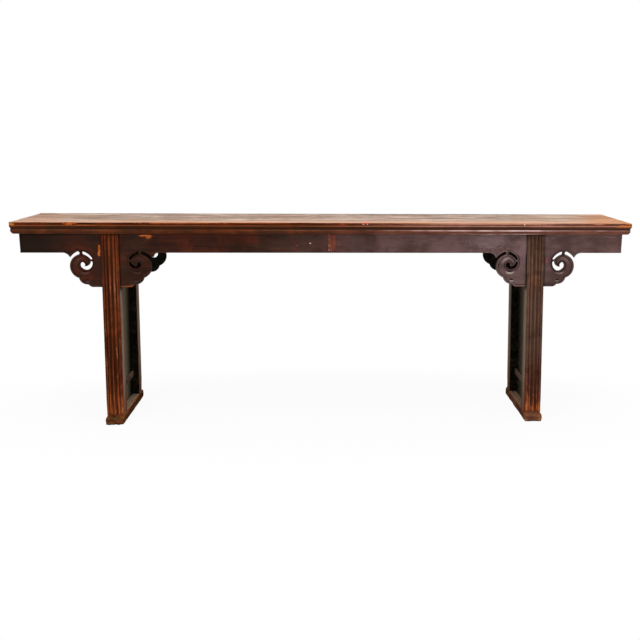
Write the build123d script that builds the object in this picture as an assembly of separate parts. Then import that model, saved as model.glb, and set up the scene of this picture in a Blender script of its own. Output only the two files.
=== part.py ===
from build123d import *
import os

# A long altar table of joined wood. X runs along the table, -Y is the front, +Z is up, and the
# origin is on the floor under the middle. Two planks make the top, thickened by mitred edge
# strips. Aprons with cloud-scroll spandrels pass through a deep bridle slot in each leg.
# Each pair of legs is framed by rails, two panels and a shoe. All sizes are millimetres.

os.makedirs("parts", exist_ok=True)

# Overall
table_length = 2700.0
table_depth = 420.0
table_height = 916.0

# Top
plank_thickness = 20.0
plank_top_round = 6.0
plank_under_round = 2.5
tongue_height = 6.0
tongue_reach = 8.0
strip_height = 32.0
strip_width = 50.0
strip_tuck = 15.0
strip_neck_inset = 7.8
strip_bead_inset = 4.2
strip_hollow_inset = 8.4
strip_lip_inset = 4.5
strip_lip_height = 1.0
bead_foot_height = 4.5
bead_head_height = 19.5
batten_count = 5
batten_end_inset = 230.0
batten_width = 56.0
batten_drop = 26.0
dovetail_height = 8.0
dovetail_neck = 44.0
dovetail_head = 54.0

# Aprons and spandrels
apron_inset = 31.0
apron_height = 84.0
apron_thickness = 14.0
apron_joint_offset = 26.0
key_width = 34.0
key_back_width = 42.0
key_depth = 7.0
key_height = 75.0
spandrel_drop = 151.5
spandrel_reach = 205.5

# Legs
leg_overhang = 420.0
leg_width = 76.0
leg_depth = 66.0
leg_proud = 8.0
leg_splay_along = 24.0
leg_splay_across = 5.0
reed_width = 9.0
reed_height = 2.5
reed_pitch_inner = 17.5
reed_pitch_outer = 13.0
hollow_depth = 1.6
cheek_housing = 4.0
cheek_tenon_thickness = 6.0
cheek_tenon_width = 44.0
cheek_tenon_height = 14.0
top_tenon_thickness = 16.0
top_tenon_width = 44.0
top_tenon_height = 10.0
foot_tenon_width = 48.0
foot_tenon_depth = 36.0
foot_tenon_height = 28.0

# Leg-end frames
shoe_ledge = 4.0
shoe_toe = 18.5
shoe_height = 43.0
shoe_crest_height = 24.0
shoe_under_inset = 7.0
stretcher_bottom = 134.0
stretcher_height = 28.0
stretcher_width = 28.0
upper_rail_drop = 12.0
upper_rail_height = 46.0
upper_rail_width = 26.0
rail_tenon_thickness = 12.0
rail_tenon_shoulder = 6.0
rail_tenon_length = 24.0
panel_thickness = 12.0
panel_groove = 7.0

# Clearance round a tenon, a tongue or a panel edge, and at the bottom of its mortise or groove
fit_gap = 0.15
end_gap = 1.0
overshoot = 1.0

# Heights and planes that follow from the sizes above
plank_bottom = table_height - plank_thickness
strip_bottom = plank_bottom - strip_height
apron_bottom = strip_bottom - apron_height
slot_bottom = apron_bottom - spandrel_drop
upper_rail_bottom = strip_bottom - upper_rail_drop - upper_rail_height
half_length = table_length / 2
half_depth = table_depth / 2
leg_station = half_length - leg_overhang
apron_x = half_length - apron_inset
apron_y = half_depth - apron_inset
leg_face_y = apron_y + leg_proud
strip_inner_y = half_depth - strip_width
slot_outer_y = apron_y - cheek_housing
slot_inner_y = apron_y - apron_thickness
head_y = min(strip_inner_y, slot_inner_y)


def leg_x(z):
    """Distance of a leg's axis from the middle of the table at height z."""
    return leg_station + leg_splay_along * (strip_bottom - z) / strip_bottom


def leg_y(z):
    """Distance of a leg's outer face from the long centre plane at height z."""
    return leg_face_y + leg_splay_across * (strip_bottom - z) / strip_bottom


spandrel_axis = leg_x((slot_bottom + strip_bottom) / 2)
shoe_x = leg_x(shoe_height / 2)
shoe_width = leg_width + 2 * shoe_ledge
shoe_half_length = leg_y(0) + shoe_toe


def block(x0, x1, y0, y1, z0, z1):
    """Rectangular block between two opposite corners."""
    centre = Pos((x0 + x1) / 2, (y0 + y1) / 2, (z0 + z1) / 2)
    return centre * Box(abs(x1 - x0), abs(y1 - y0), abs(z1 - z0))


def end_room(gap):
    """Extra depth of a mortise or groove, none on the piece that goes in."""
    return end_gap if gap else 0


def path(start, *steps):
    """Edges from start through steps: a point is a line to it, a pair (middle, end) an arc."""
    edges = []
    here = start
    for step in steps:
        if isinstance(step[0], tuple):
            edges.append(ThreePointArc(here, step[0], step[1]))
            here = step[1]
        else:
            edges.append(Line(here, step))
            here = step
    return edges


def upright(sketch, y0, y1):
    """A sketch drawn as (x, z), extruded between two planes of constant y."""
    return extrude(Plane.XZ.offset(-y0) * sketch, -(y1 - y0))


def plan(sketch, z0, z1):
    """A sketch drawn as (x, y), extruded between two heights."""
    return extrude(Pos(0, 0, z0) * sketch, z1 - z0)


def save(shape, name):
    """Write one piece, whose solid is named after it."""
    shape.label = name
    export_step(shape, f"parts/{name}.step")


# Top


def batten_profile(gap):
    """Section of a batten in (x, z): a bar with a dovetail along its top edge."""
    half = batten_width / 2
    neck = dovetail_neck / 2 + gap
    head = dovetail_head / 2 + gap
    low = plank_bottom - batten_drop
    top = plank_bottom + dovetail_height + gap
    start = (-half, low)
    return make_face(path(start, (half, low), (half, plank_bottom), (neck, plank_bottom),
                          (head, top), (-head, top), (-neck, plank_bottom),
                          (-half, plank_bottom), start))


def batten_places():
    """X of each batten, spread evenly between the two nearest the ends."""
    last = half_length - batten_end_inset
    step = 2 * last / (batten_count - 1)
    return [index * step - last for index in range(batten_count)]


def battens():
    """Transverse battens that slide in dovetail housings and hold the planks flat."""
    bar = upright(batten_profile(0), -strip_inner_y, strip_inner_y)
    return [Pos(x, 0, 0) * bar for x in batten_places()]


def top_blank():
    """The whole top with its rounded rim, before it is parted at the seam."""
    board = block(-half_length, half_length, -half_depth, half_depth, plank_bottom, table_height)
    board = fillet(board.edges().group_by(Axis.Z)[-1], plank_top_round)
    return fillet(board.edges().group_by(Axis.Z)[0], plank_under_round)


def seam_tongue(gap):
    """Tongue along the seam, on the front plank, stopped short of the ends."""
    middle = (plank_bottom + table_height) / 2
    half = tongue_height / 2 + gap
    stop = half_length - strip_width + gap
    return block(-stop, stop, -gap, tongue_reach + 2 * gap, middle - half, middle + half)


def planks():
    """Front and rear plank, with tongue and groove, batten housings and tenon mortises."""
    blank = top_blank()
    reach = half_length + strip_width
    front = blank & block(-reach, reach, -table_depth, 0, 0, 2 * table_height)
    rear = blank & block(-reach, reach, 0, table_depth, 0, 2 * table_height)
    front = front + seam_tongue(0)
    rear = rear - seam_tongue(fit_gap)
    housing = upright(batten_profile(fit_gap), -strip_inner_y - fit_gap, strip_inner_y + fit_gap)
    for x in batten_places():
        front -= Pos(x, 0, 0) * housing
        rear -= Pos(x, 0, 0) * housing
    for side in (-1, 1):
        front -= top_tenon(side, -1, fit_gap)
        rear -= top_tenon(side, 1, fit_gap)
    return front, rear


def strip_profile():
    """Section of an edge strip as (distance in from the rim, z): tuck, bead, hollow, lip."""
    low = strip_bottom
    lip = plank_bottom - strip_lip_height
    foot = (strip_neck_inset, low + bead_foot_height)
    head = (strip_neck_inset, low + bead_head_height)
    tuck_middle = (strip_tuck + (strip_neck_inset - strip_tuck) * 0.7, low + bead_foot_height * 0.3)
    start = (strip_width, low)
    return path(start, (strip_tuck, low),
                (tuck_middle, foot),
                ((strip_bead_inset, (foot[1] + head[1]) / 2), head),
                ((strip_hollow_inset, (head[1] + lip) / 2), (strip_lip_inset, lip)),
                (strip_lip_inset, plank_bottom), (strip_width, plank_bottom), start)


def mitred(width, half_x, half_y):
    """Plan of a mitred piece that lies along X at -half_y."""
    start = (-half_x, -half_y)
    return make_face(path(start, (half_x, -half_y), (half_x - width, -half_y + width),
                          (-half_x + width, -half_y + width), start))


def mitred_end(width, half_x, half_y):
    """Plan of a mitred piece that lies along Y at +half_x."""
    start = (half_x, -half_y)
    return make_face(path(start, (half_x, half_y), (half_x - width, half_y - width),
                          (half_x - width, -half_y + width), start))


def edge_strips():
    """The front strip and the right-hand strip; the other two are their mirror images."""
    section = make_face(strip_profile())
    along = extrude(Plane.YZ * Pos(-half_depth, 0) * section, half_length, both=True)
    across = extrude(Plane.XZ * Pos(half_length, 0) * mirror(section, Plane.YZ), half_depth,
                     both=True)
    front = along & plan(mitred(strip_width, half_length, half_depth), strip_bottom, plank_bottom)
    right = across & plan(mitred_end(strip_width, half_length, half_depth), strip_bottom,
                          plank_bottom)
    for side in (-1, 1):
        front -= cheek_tenon(side, fit_gap)
    return front, right


# Aprons and spandrels

# Half of the cloud-scroll pattern as it is drawn on a template: distance from the leg's axis, and
# height over the apron's lower edge. The outline runs from the plain apron in to the leg's axis.
outline_template = (
    (205.5, 0),
    ((188.5, -5.6), (176.5, -22)),     # cove down to the hooked cusp
    ((158, -4.6), (138.5, 5.6)),       # upper lip of the open slot
    ((131.2, -1.4), (137, -8)),        # its round end
    ((151.5, -14.8), (164.5, -26.5)),  # lower lip
    ((176, -60), (165, -94)),          # back of the scroll
    ((155, -103.5), (140.5, -111)),    # first lobe
    ((130, -130), (101.5, -139.7)),    # second lobe
    ((93, -147.6), (83.5, -151.5)),    # third lobe
    (0, -151.5),
)

# Closed slot that arches over the scroll's shoulder
arch_template = (
    (116.5, 5.5),
    ((97, -4.2), (79.5, -22.5)),
    ((80.5, -29.5), (88.5, -28.8)),
    ((101.5, -16.5), (117.5, -8)),
    ((121.5, -1), (116.5, 5.5)),
)

# Closed slot that winds round the scroll and ends in its round eye
spiral_template = (
    (77.8, -41),
    ((80, -57.5), (91, -71.5)),
    ((108, -77.5), (124, -70)),
    ((132, -54), (122, -41)),
    ((112.3, -47), (113, -60)),
    ((98.5, -57.5), (88, -41)),
    ((83, -37.6), (77.8, -41)),
)


def fit_point(point):
    """A template point at the spandrel's real size."""
    across = spandrel_reach / outline_template[0][0]
    down = spandrel_drop / -outline_template[-1][1]
    return (point[0] * across, point[1] * down)


def fit_template(template):
    """Edges of a template at the spandrel's real size."""
    start, *steps = template
    real = []
    for step in steps:
        if isinstance(step[0], tuple):
            real.append((fit_point(step[0]), fit_point(step[1])))
        else:
            real.append(fit_point(step))
    return path(fit_point(start), *real)


def apron_board(x0, x1, leg_at):
    """Board from x0 to x1, one leg's pair of spandrels included, before its joints are cut."""
    place = Pos(leg_at, 0)
    half = Curve() + fit_template(outline_template)
    lower = [place * half, place * mirror(half, Plane.YZ)]
    left_run = Line((x0, 0), (leg_at - spandrel_reach, 0))
    right_run = Line((leg_at + spandrel_reach, 0), (x1, 0))
    rest = path((x1, 0), (x1, apron_height), (x0, apron_height), (x0, 0))
    face = make_face([left_run, *lower, right_run, *rest])
    for template in (arch_template, spiral_template):
        slot = make_face(fit_template(template))
        face -= place * slot
        face -= place * mirror(slot, Plane.YZ)
    return upright(Pos(0, apron_bottom) * face, -apron_y, -apron_y + apron_thickness)


def joint_key(gap):
    """Key that slides down a dovetail housing across the joint of the two apron lengths."""
    face = key_width / 2 + gap
    back = key_back_width / 2 + gap
    start = (-face, -apron_y)
    section = make_face(path(start, (face, -apron_y), (back, -apron_y + key_depth + gap),
                             (-back, -apron_y + key_depth + gap), start))
    return Pos(apron_joint_offset, 0, 0) * plan(section, strip_bottom - key_height - gap,
                                                strip_bottom)


def long_aprons():
    """Left and right length of the front apron, mitred at the corner and butted at the joint."""
    stock = plan(mitred(apron_thickness, apron_x, apron_y), slot_bottom, strip_bottom)
    key_room = joint_key(fit_gap)
    boards = []
    for side in (-1, 1):
        ends = sorted((side * apron_x, apron_joint_offset))
        board = apron_board(ends[0], ends[1], side * spandrel_axis) & stock
        board -= key_room
        board -= leg_cheek(side, fit_gap)
        boards.append(board)
    return boards


def end_apron():
    """The plain apron across the right-hand end."""
    return plan(mitred_end(apron_thickness, apron_x, apron_y), apron_bottom, strip_bottom)


# Legs


def leg_section():
    """Section of a leg in (x, y) with its reeded face at y = 0 and its back at +leg_depth."""
    half = leg_width / 2
    centres = [0, reed_pitch_inner, reed_pitch_inner + reed_pitch_outer]
    centres = [-c for c in reversed(centres[1:])] + centres
    flank = reed_height
    start = (-half, flank)
    steps = []
    for index, centre in enumerate(centres):
        left = centre - reed_width / 2
        right = centre + reed_width / 2
        if index:
            previous = centres[index - 1] + reed_width / 2
            steps.append((((previous + left) / 2, flank + hollow_depth), (left, flank)))
        else:
            steps.append((left, flank))
        steps.append(((centre, 0), (right, flank)))
    steps += [(half, flank), (half, leg_depth), (-half, leg_depth), start]
    return make_face(path(start, *steps))


def splayed(section, side, z0, z1):
    """A plan section set on the front leg's axis at z0 and extruded along the splay to z1."""
    foot = Vector(side * leg_x(z0), -leg_y(z0), z0)
    head = Vector(side * leg_x(z1), -leg_y(z1), z1)
    run = head - foot
    return Part() + [Solid.extrude(face, run) for face in (Pos(foot) * section).faces()]


def leg_cheek(side, gap):
    """Room for the front cheek where it is let into the face of the apron."""
    half = leg_width / 2 + gap
    cheek = leg_proud + leg_splay_across + cheek_housing
    section = Rectangle(2 * half, cheek, align=(Align.CENTER, Align.MIN))
    room = splayed(section, side, slot_bottom - overshoot, strip_bottom + overshoot)
    return room & block(-table_length, table_length, -half_depth, -slot_outer_y, 0, table_height)


def cheek_tenon(side, gap):
    """Tenon on top of a front cheek, or with a gap its mortise in the edge strip."""
    half = cheek_tenon_width / 2 + gap
    middle = -(leg_face_y + slot_outer_y - reed_height) / 2
    half_thick = cheek_tenon_thickness / 2 + gap
    top = strip_bottom + cheek_tenon_height + end_room(gap)
    x = side * leg_x(strip_bottom)
    return block(x - half, x + half, middle - half_thick, middle + half_thick, strip_bottom, top)


def top_tenon(side, face, gap):
    """Tenon on top of a rear cheek, or with a gap its mortise in the plank; face is -1 or +1."""
    half = top_tenon_width / 2 + gap
    middle = face * (head_y + leg_face_y - leg_depth) / 2
    half_thick = top_tenon_thickness / 2 + gap
    top = plank_bottom + top_tenon_height + end_room(gap)
    x = side * leg_x(plank_bottom)
    return block(x - half, x + half, middle - half_thick, middle + half_thick, plank_bottom, top)


def foot_tenon(side, gap):
    """Tenon under a leg, or with a gap its mortise in the shoe."""
    x = side * leg_x(shoe_height)
    y = -leg_y(shoe_height) + (leg_depth + reed_height) / 2
    half_x = foot_tenon_width / 2 + gap
    half_y = foot_tenon_depth / 2 + gap
    low = shoe_height - foot_tenon_height - end_room(gap)
    return block(x - half_x, x + half_x, y - half_y, y + half_y, low, shoe_height)


def front_leg(side):
    """Front leg, right-hand for side +1, with its bridle slot, tenons, mortises and grooves."""
    leg = splayed(leg_section(), side, shoe_height, plank_bottom)
    far = table_length
    leg -= block(-far, far, -slot_outer_y, -slot_inner_y, slot_bottom, table_height)
    leg -= block(-far, far, -half_depth, -head_y, strip_bottom, table_height)
    leg += cheek_tenon(side, 0)
    leg += top_tenon(side, -1, 0)
    leg += foot_tenon(side, 0)
    leg -= upper_rail(side, fit_gap)
    leg -= stretcher(side, fit_gap)
    for panel in end_panels(side, fit_gap):
        leg -= panel
    return leg


# Leg-end frames


def cross_rail(side, width, bottom, height, gap):
    """Rail along Y between the legs of one end with a tenon at each end, or its mortises."""
    x = side * leg_x(bottom + height / 2)
    seat = leg_y(bottom + height / 2) - leg_depth
    end = seat + rail_tenon_length
    half_thick = rail_tenon_thickness / 2 + gap
    tenon = block(x - half_thick, x + half_thick, -end - end_room(gap),
                  end + end_room(gap), bottom + rail_tenon_shoulder - gap,
                  bottom + height - rail_tenon_shoulder + gap)
    if gap:
        return tenon
    bar = block(x - width / 2, x + width / 2, -half_depth, half_depth, bottom, bottom + height)
    return (bar & frame_opening(side, 0)) + tenon


def frame_opening(side, gap):
    """Space between the inner faces of a front and a rear leg, wide enough for any rail."""
    foot = leg_y(0) - leg_depth + gap
    head = leg_y(table_height) - leg_depth + gap
    start = (-foot, 0)
    section = make_face(path(start, (foot, 0), (head, table_height), (-head, table_height), start))
    x = side * leg_station
    return extrude(Plane.YZ.offset(x) * section, 2 * leg_width, both=True)


def upper_rail(side, gap):
    """Rail that ties the heads of a pair of legs behind the aprons."""
    return cross_rail(side, upper_rail_width, upper_rail_bottom, upper_rail_height, gap)


def stretcher(side, gap):
    """Low stretcher between a pair of legs."""
    return cross_rail(side, stretcher_width, stretcher_bottom, stretcher_height, gap)


def end_panel(side, z0, z1, gap):
    """Panel in the plane of a pair of legs, its edges in grooves all round."""
    low = z0 - panel_groove - end_room(gap)
    high = z1 + panel_groove + end_room(gap)
    ends = []
    for z in (low, high):
        half_y = leg_y(z) - leg_depth + panel_groove + end_room(gap)
        edge = Rectangle(panel_thickness + 2 * gap, 2 * half_y)
        ends.append(Pos(side * leg_x(z), 0, z) * edge)
    return loft(ends, ruled=True)


def end_panels(side, gap):
    """The lower and the upper panel of one end."""
    lower = end_panel(side, shoe_height, stretcher_bottom, gap)
    upper = end_panel(side, stretcher_bottom + stretcher_height, upper_rail_bottom, gap)
    return lower, upper


def bulged(half):
    """Side view of a shoe, half wide to each side, swelling to a crest between top and sole."""
    top = half - shoe_ledge
    sole = half - shoe_under_inset
    edges = [Line((-top, shoe_height), (top, shoe_height)), Line((-sole, 0), (sole, 0))]
    for way in (-1, 1):
        crest = (way * half, shoe_crest_height)
        edges.append(TangentArc(crest, (way * top, shoe_height), tangent=(0, 1)))
        edges.append(TangentArc(crest, (way * sole, 0), tangent=(0, -1)))
    return make_face(edges)


def shoe(side):
    """Base rail under a pair of legs, with mortises for them and a groove for the panel."""
    half = shoe_width / 2
    across = upright(bulged(half), -table_depth, table_depth)
    along = extrude(Plane.YZ * bulged(shoe_half_length), shoe_width, both=True)
    body = Pos(side * shoe_x, 0, 0) * (across & along)
    mortise = foot_tenon(side, fit_gap)
    body -= mortise
    body -= mirror(mortise, Plane.XZ)
    return body - end_panels(side, fit_gap)[0]


def build():
    """Make every piece and write it."""
    front, rear = planks()
    save(front, "top_front_plank")
    save(rear, "top_rear_plank")
    for index, batten in enumerate(battens()):
        save(batten, f"top_batten_{index + 1}")

    strip_front, strip_right = edge_strips()
    save(strip_front, "edge_strip_front")
    save(mirror(strip_front, Plane.XZ), "edge_strip_rear")
    save(strip_right, "edge_strip_right")
    save(mirror(strip_right, Plane.YZ), "edge_strip_left")

    left, right = long_aprons()
    key = joint_key(0)
    turn = Rot(0, 0, 180)
    save(left, "apron_front_left")
    save(right, "apron_front_right")
    save(key, "apron_front_key")
    save(turn * right, "apron_rear_left")
    save(turn * left, "apron_rear_right")
    save(turn * key, "apron_rear_key")
    end_board = end_apron()
    save(end_board, "apron_end_right")
    save(mirror(end_board, Plane.YZ), "apron_end_left")

    for side, name in ((-1, "left"), (1, "right")):
        leg = front_leg(side)
        save(leg, f"leg_front_{name}")
        save(mirror(leg, Plane.XZ), f"leg_rear_{name}")
        lower, upper = end_panels(side, 0)
        rail = upper_rail(side, 0)
        low_rail = stretcher(side, 0)
        for panel in end_panels(side, fit_gap):
            rail -= panel
            low_rail -= panel
        save(rail, f"upper_rail_{name}")
        save(upper, f"upper_panel_{name}")
        save(low_rail, f"lower_stretcher_{name}")
        save(lower, f"lower_panel_{name}")
        save(shoe(side), f"shoe_{name}")


build()
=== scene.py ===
import math
import random
import bpy
import numpy as np
from mathutils import Matrix, Vector, noise
from mathutils.geometry import delaunay_2d_cdt


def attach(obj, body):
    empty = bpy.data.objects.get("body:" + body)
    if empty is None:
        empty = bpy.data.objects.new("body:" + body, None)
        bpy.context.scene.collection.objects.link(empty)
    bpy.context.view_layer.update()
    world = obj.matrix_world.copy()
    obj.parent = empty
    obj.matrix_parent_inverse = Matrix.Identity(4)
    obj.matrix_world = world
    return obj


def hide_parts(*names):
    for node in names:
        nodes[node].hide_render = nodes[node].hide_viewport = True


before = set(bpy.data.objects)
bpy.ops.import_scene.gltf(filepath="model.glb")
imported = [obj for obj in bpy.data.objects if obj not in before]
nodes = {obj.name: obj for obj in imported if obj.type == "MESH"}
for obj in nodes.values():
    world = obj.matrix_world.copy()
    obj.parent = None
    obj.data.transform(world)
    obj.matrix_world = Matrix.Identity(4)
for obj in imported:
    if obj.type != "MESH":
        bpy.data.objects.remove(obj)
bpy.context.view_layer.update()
print("frame loaded:", len(nodes), "nodes")

mm = 0.001

# main sizes of the table in millimetres; pairs are for the left and the right legs
table = {
    "halfLength": 1350.0, "halfDepth": 210.0, "height": 916.0,
    "plankLow": 896.0, "stripLow": 864.0, "apronLow": 780.0, "slotLow": 628.5,
    "apronX": 1319.0, "apronY": 179.0, "apronThick": 14.0,
    "legStation": (934.0, 930.0), "legSplay": (19.8, 24.0), "legFace": 187.0, "legLean": 5.0,
    "shoeTop": 43.0,
}


def legX(z, side=1):
    # the left pair stands a little straighter than the right
    index = 1 if side > 0 else 0
    down = (table["stripLow"] - z) / table["stripLow"]
    return table["legStation"][index] + table["legSplay"][index] * down


def legY(z):
    return table["legFace"] + table["legLean"] * (table["stripLow"] - z) / table["stripLow"]


# shader helpers


class Wire:
    # one output socket; plain maths on it adds Math nodes

    def __init__(self, finish, socket):
        self.finish = finish
        self.socket = socket

    def math(self, operation, first, second):
        return self.finish.node("Math", {"operation": operation}, {0: first, 1: second})

    def __add__(self, other):
        return self.math("ADD", self, other)

    __radd__ = __add__

    def __sub__(self, other):
        return self.math("SUBTRACT", self, other)

    def __rsub__(self, other):
        return self.math("SUBTRACT", other, self)

    def __mul__(self, other):
        return self.math("MULTIPLY", self, other)

    __rmul__ = __mul__

    def larger(self, other):
        return self.math("MAXIMUM", self, other)


class Finish:
    # a material or world and the few moves that build its node tree

    def __init__(self, owner):
        self.owner = owner
        owner.use_nodes = True
        self.tree = owner.node_tree
        self.tree.nodes.clear()
        self.place = self.node("TexCoord", {}, {}, "Object")

    def node(self, kind, settings, values, output=0):
        made = self.tree.nodes.new("ShaderNode" + kind)
        for key, value in settings.items():
            setattr(made, key, value)
        for key, value in values.items():
            if isinstance(value, Wire):
                self.tree.links.new(value.socket, made.inputs[key])
            else:
                made.inputs[key].default_value = value
        return Wire(self, made.outputs[output] if made.outputs else None)

    def vector(self, operation, *values, output=0):
        return self.node("VectorMath", {"operation": operation}, dict(enumerate(values)), output)

    def mix(self, amount, below, above):
        return self.node("Mix", {"data_type": "RGBA", "clamp_factor": True},
                         {0: amount, 6: below, 7: above}, 2)

    def rise(self, value, low, high):
        # smooth step from 0 at low to 1 at high
        return self.node("MapRange", {"interpolation_type": "SMOOTHSTEP"},
                         {0: value, 1: low, 2: high})

    def cloud(self, scale, detail=3.0, rough=0.55, warp=0.0):
        # soft noise; scale is in features per metre along x, y, z
        return self.node("TexNoise", {"noise_dimensions": "3D"},
                         {"Vector": self.vector("MULTIPLY", self.place, scale), "Scale": 1.0,
                          "Detail": detail, "Roughness": rough, "Distortion": warp})

    def part(self, axis):
        return self.node("SeparateXYZ", {}, {0: self.place}, "XYZ"[axis])

    def facing(self, axis):
        normal = self.node("NewGeometry", {}, {}, "Normal")
        return self.node("SeparateXYZ", {}, {0: normal}, "XYZ"[axis])

    def looked(self):
        # 1 where the eye, a reflection or clear glass looks, 0 where light falls
        rays = [self.node("LightPath", {}, {}, "Is %s Ray" % kind)
                for kind in ("Camera", "Glossy", "Transmission")]
        return rays[0].larger(rays[1]).larger(rays[2])

    def mark(self, name):
        return self.node("Attribute", {"attribute_name": name}, {}, "Fac")

    def touched(self, colour, spots, ragged, speck):
        # ragged patches laid over a colour; ragged and speck are noise wires
        for centre, radii, shade, amount in spots:
            off = self.vector("SUBTRACT", self.place, centre)
            reach = self.vector("LENGTH", self.vector("DIVIDE", off, radii), output=1)
            broken = reach + (ragged - 0.5) * 1.8 + (speck - 0.5) * 2.4
            patch = 1.0 - self.rise(broken, 0.65, 1.0)
            colour = self.mix(patch * amount, colour, paint(*shade))
        return colour

    def end(self, surface, kind="Material"):
        self.node("Output" + kind, {}, {"Surface": surface})
        return self.owner

    def close(self, colour, roughness, height, look):
        # Principled surface; height feeds a bump as deep as the look's relief
        bump = self.node("Bump", {}, {"Height": height, "Distance": look["relief"] * mm,
                                      "Strength": 1.0})
        return self.end(self.node("BsdfPrincipled", {}, {
            "Base Color": colour, "Roughness": roughness, "Normal": bump,
            "Specular IOR Level": look["specular"], "Coat Weight": 0.0}))


def paint(red, green, blue):
    # colour given as it looks on a screen, 0 to 255
    def linear(value):
        value /= 255.0
        return value / 12.92 if value <= 0.04045 else ((value + 0.055) / 1.055) ** 2.4
    return (linear(red), linear(green), linear(blue), 1.0)


def along(axis, fine, coarse):
    # noise scale with long features along one axis
    return tuple(coarse if index == axis else fine for index in range(3))


# finishes


# noises of the coat: features per metre across and along the grain, detail, roughness, warp
grainLook = {
    "fibre": (420.0, 14.0, 3.0, 0.6, 0.0), "streak": (80.0, 2.6, 5.0, 0.65, 0.5),
    "speck": (210.0, 90.0, 4.0, 0.75, 0.3), "drips": (170.0, 9.0, 4.0, 0.7, 0.3),
}
# and those without a grain: features per metre along x, y, z, detail, roughness, warp
patchLook = {
    "blotch": ((9.0, 9.0, 9.0), 4.0, 0.62, 0.5), "slow": ((1.3, 2.0, 3.0), 2.0, 0.5, 0.0),
    "hue": ((6.0, 8.0, 12.0), 4.0, 0.6, 0.8), "ragged": ((46.0, 46.0, 46.0), 5.0, 0.7, 0.4),
}

# from where to where each layer comes in, on its noise or mark, or on its place in metres
coatSteps = {
    "body": (0.38, 0.62), "olive": (0.44, 0.6), "blush": (0.48, 0.7), "faded": (0.36, 0.64),
    "mottle": (0.5, 0.66), "rub": (0.2, 0.9), "drips": (0.53, 0.66), "grime": (0.1, 0.85),
    "fibre": (0.3, 0.7), "soot": (0.4, 0.7), "beyond": (0.95, 1.2), "up": (0.04, 0.42),
    "lying": (0.35, 0.9), "patchy": (0.6, 1.1), "inward": (-0.17, -0.1), "rightward": (0.0, 0.2),
}


def grain(f, axis, name):
    across, run, detail, rough, warp = grainLook[name]
    return f.cloud(along(axis, across, run), detail, rough, warp)


def lacquerCoat(f, axis, look, spots):
    # old lacquer over wood: streaks along the grain, thin places, wear and bare wood, with painted
    # sheen towards the right, painted highlights and painted shade
    steps = coatSteps
    fibre, streak = grain(f, axis, "fibre"), grain(f, axis, "streak")
    blotch, slow, hue, ragged = (f.cloud(*row) for row in patchLook.values())
    # side runs from 0 on the left to 1 on the right; the paler, greyer tone it brings in is partly
    # faded lacquer and partly painted sheen, and the olive flecks, thin places and rubbed tone
    # follow it
    side = f.rise(f.part(0) + (slow - 0.5) * 0.5, look["fadeFrom"], look["fadeTo"])
    beyond = f.rise(f.part(0) + (hue - 0.5) * 0.3, *steps["beyond"])
    if look["fadeUp"]:
        side = side * (1.0 - look["fadeUp"] + f.rise(f.part(2), *steps["up"]) * look["fadeUp"])
    body = f.mix(f.rise(streak * 0.6 + blotch * 0.4, *steps["body"]), look["deep"], look["body"])
    body = f.mix(f.rise(hue, *steps["olive"]) * look["wander"], body, look["olive"])
    body = f.mix(f.rise(blotch, *steps["blush"]) * look["blush"], body, look["thin"])
    paler = f.rise(hue * 0.6 + blotch * 0.4, *steps["faded"])
    faded = f.mix(paler, look["fadeDark"], look["fadePale"])
    body = f.mix(side * (1.0 - beyond * look["fadeBack"]) * look["fade"], body, faded)
    fleck = f.mix(side, look["olive"], look["oliveFar"])
    body = f.mix(f.rise(ragged, *steps["mottle"]) * look["mottle"], body, fleck)
    scuffs = f.mark("wear") + (streak - 0.5) * look["raggedWear"] + (ragged - 0.5) * 0.5
    thinned = f.rise(scuffs, look["thinAt"], look["thinAt"] + 0.25)
    bared = f.rise(scuffs, look["bareAt"], look["bareAt"] + 0.24)
    colour = f.mix(thinned * look["thinAmount"] * (1.0 - side * 0.35), body, look["thin"])
    colour = f.mix(bared * look["bareAmount"], colour, look["bare"])
    # rubbed crests and arrises, worn and polished, carry a painted highlight that turns paler
    # towards the right as painted sheen
    rubbed = f.rise(f.mark("rub") + (streak - 0.5) * 0.5, *steps["rub"])
    rubTone = f.mix(side, look["rubbed"], look["rubbedFar"])
    rubShare = look["rubNear"] + side * (look["rubFar"] - look["rubNear"])
    colour = f.mix(rubbed * rubShare, colour, rubTone)
    colour = f.touched(colour, spots, ragged, grain(f, axis, "speck"))
    # pale dust with painted sheen on the legs' inner sides
    colour = f.mix(f.mark("chalk") * (0.5 + streak), colour, look["chalk"])
    if look["drips"]:
        drips = f.rise(grain(f, axis, "drips"), *steps["drips"])
        colour = f.mix(drips * look["drips"], colour, look["dirt"])
    # painted highlights on the lips of the gouge cuts and on the scroll's shoulder
    colour = f.mix(f.mark("shine") * (0.6 + ragged * 0.8), colour, look["shine"])
    # darkening as dirt and as painted shade: in hollows and joints, under the moulding, and on
    # faces turned away
    grime = f.rise(f.mark("grime") + (blotch - 0.5) * 0.35, *steps["grime"])
    colour = f.mix(grime * look["grime"], colour, look["dirt"])
    colour = f.mix(f.rise(fibre, *steps["fibre"]) * look["fibre"], colour, look["deep"])
    # near black painted shade on faces hidden inside the frame
    sooty = f.mix(f.rise(ragged, *steps["soot"]), look["soot"], look["sootPale"])
    colour = f.mix(f.mark("soot"), colour, sooty)
    if look["dust"]:
        lying = f.rise(f.facing(2), *steps["lying"]) * f.rise(blotch + ragged, *steps["patchy"])
        lying = lying * f.rise(f.part(1), *steps["inward"])
        lying = lying * (1.0 - f.rise(f.part(0), *steps["rightward"]) * 0.45)
        colour = f.mix(lying * look["dust"], colour, look["dusty"])
    roughness = (look["rough"] + (blotch - 0.5) * 0.2 + bared * 0.2 + grime * 0.25
                 - rubbed * 0.08 + (fibre - 0.5) * 0.12)
    height = fibre * 0.35 + streak * 0.5 + ragged * 0.25 - bared * 0.3
    return colour, roughness, height


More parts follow.
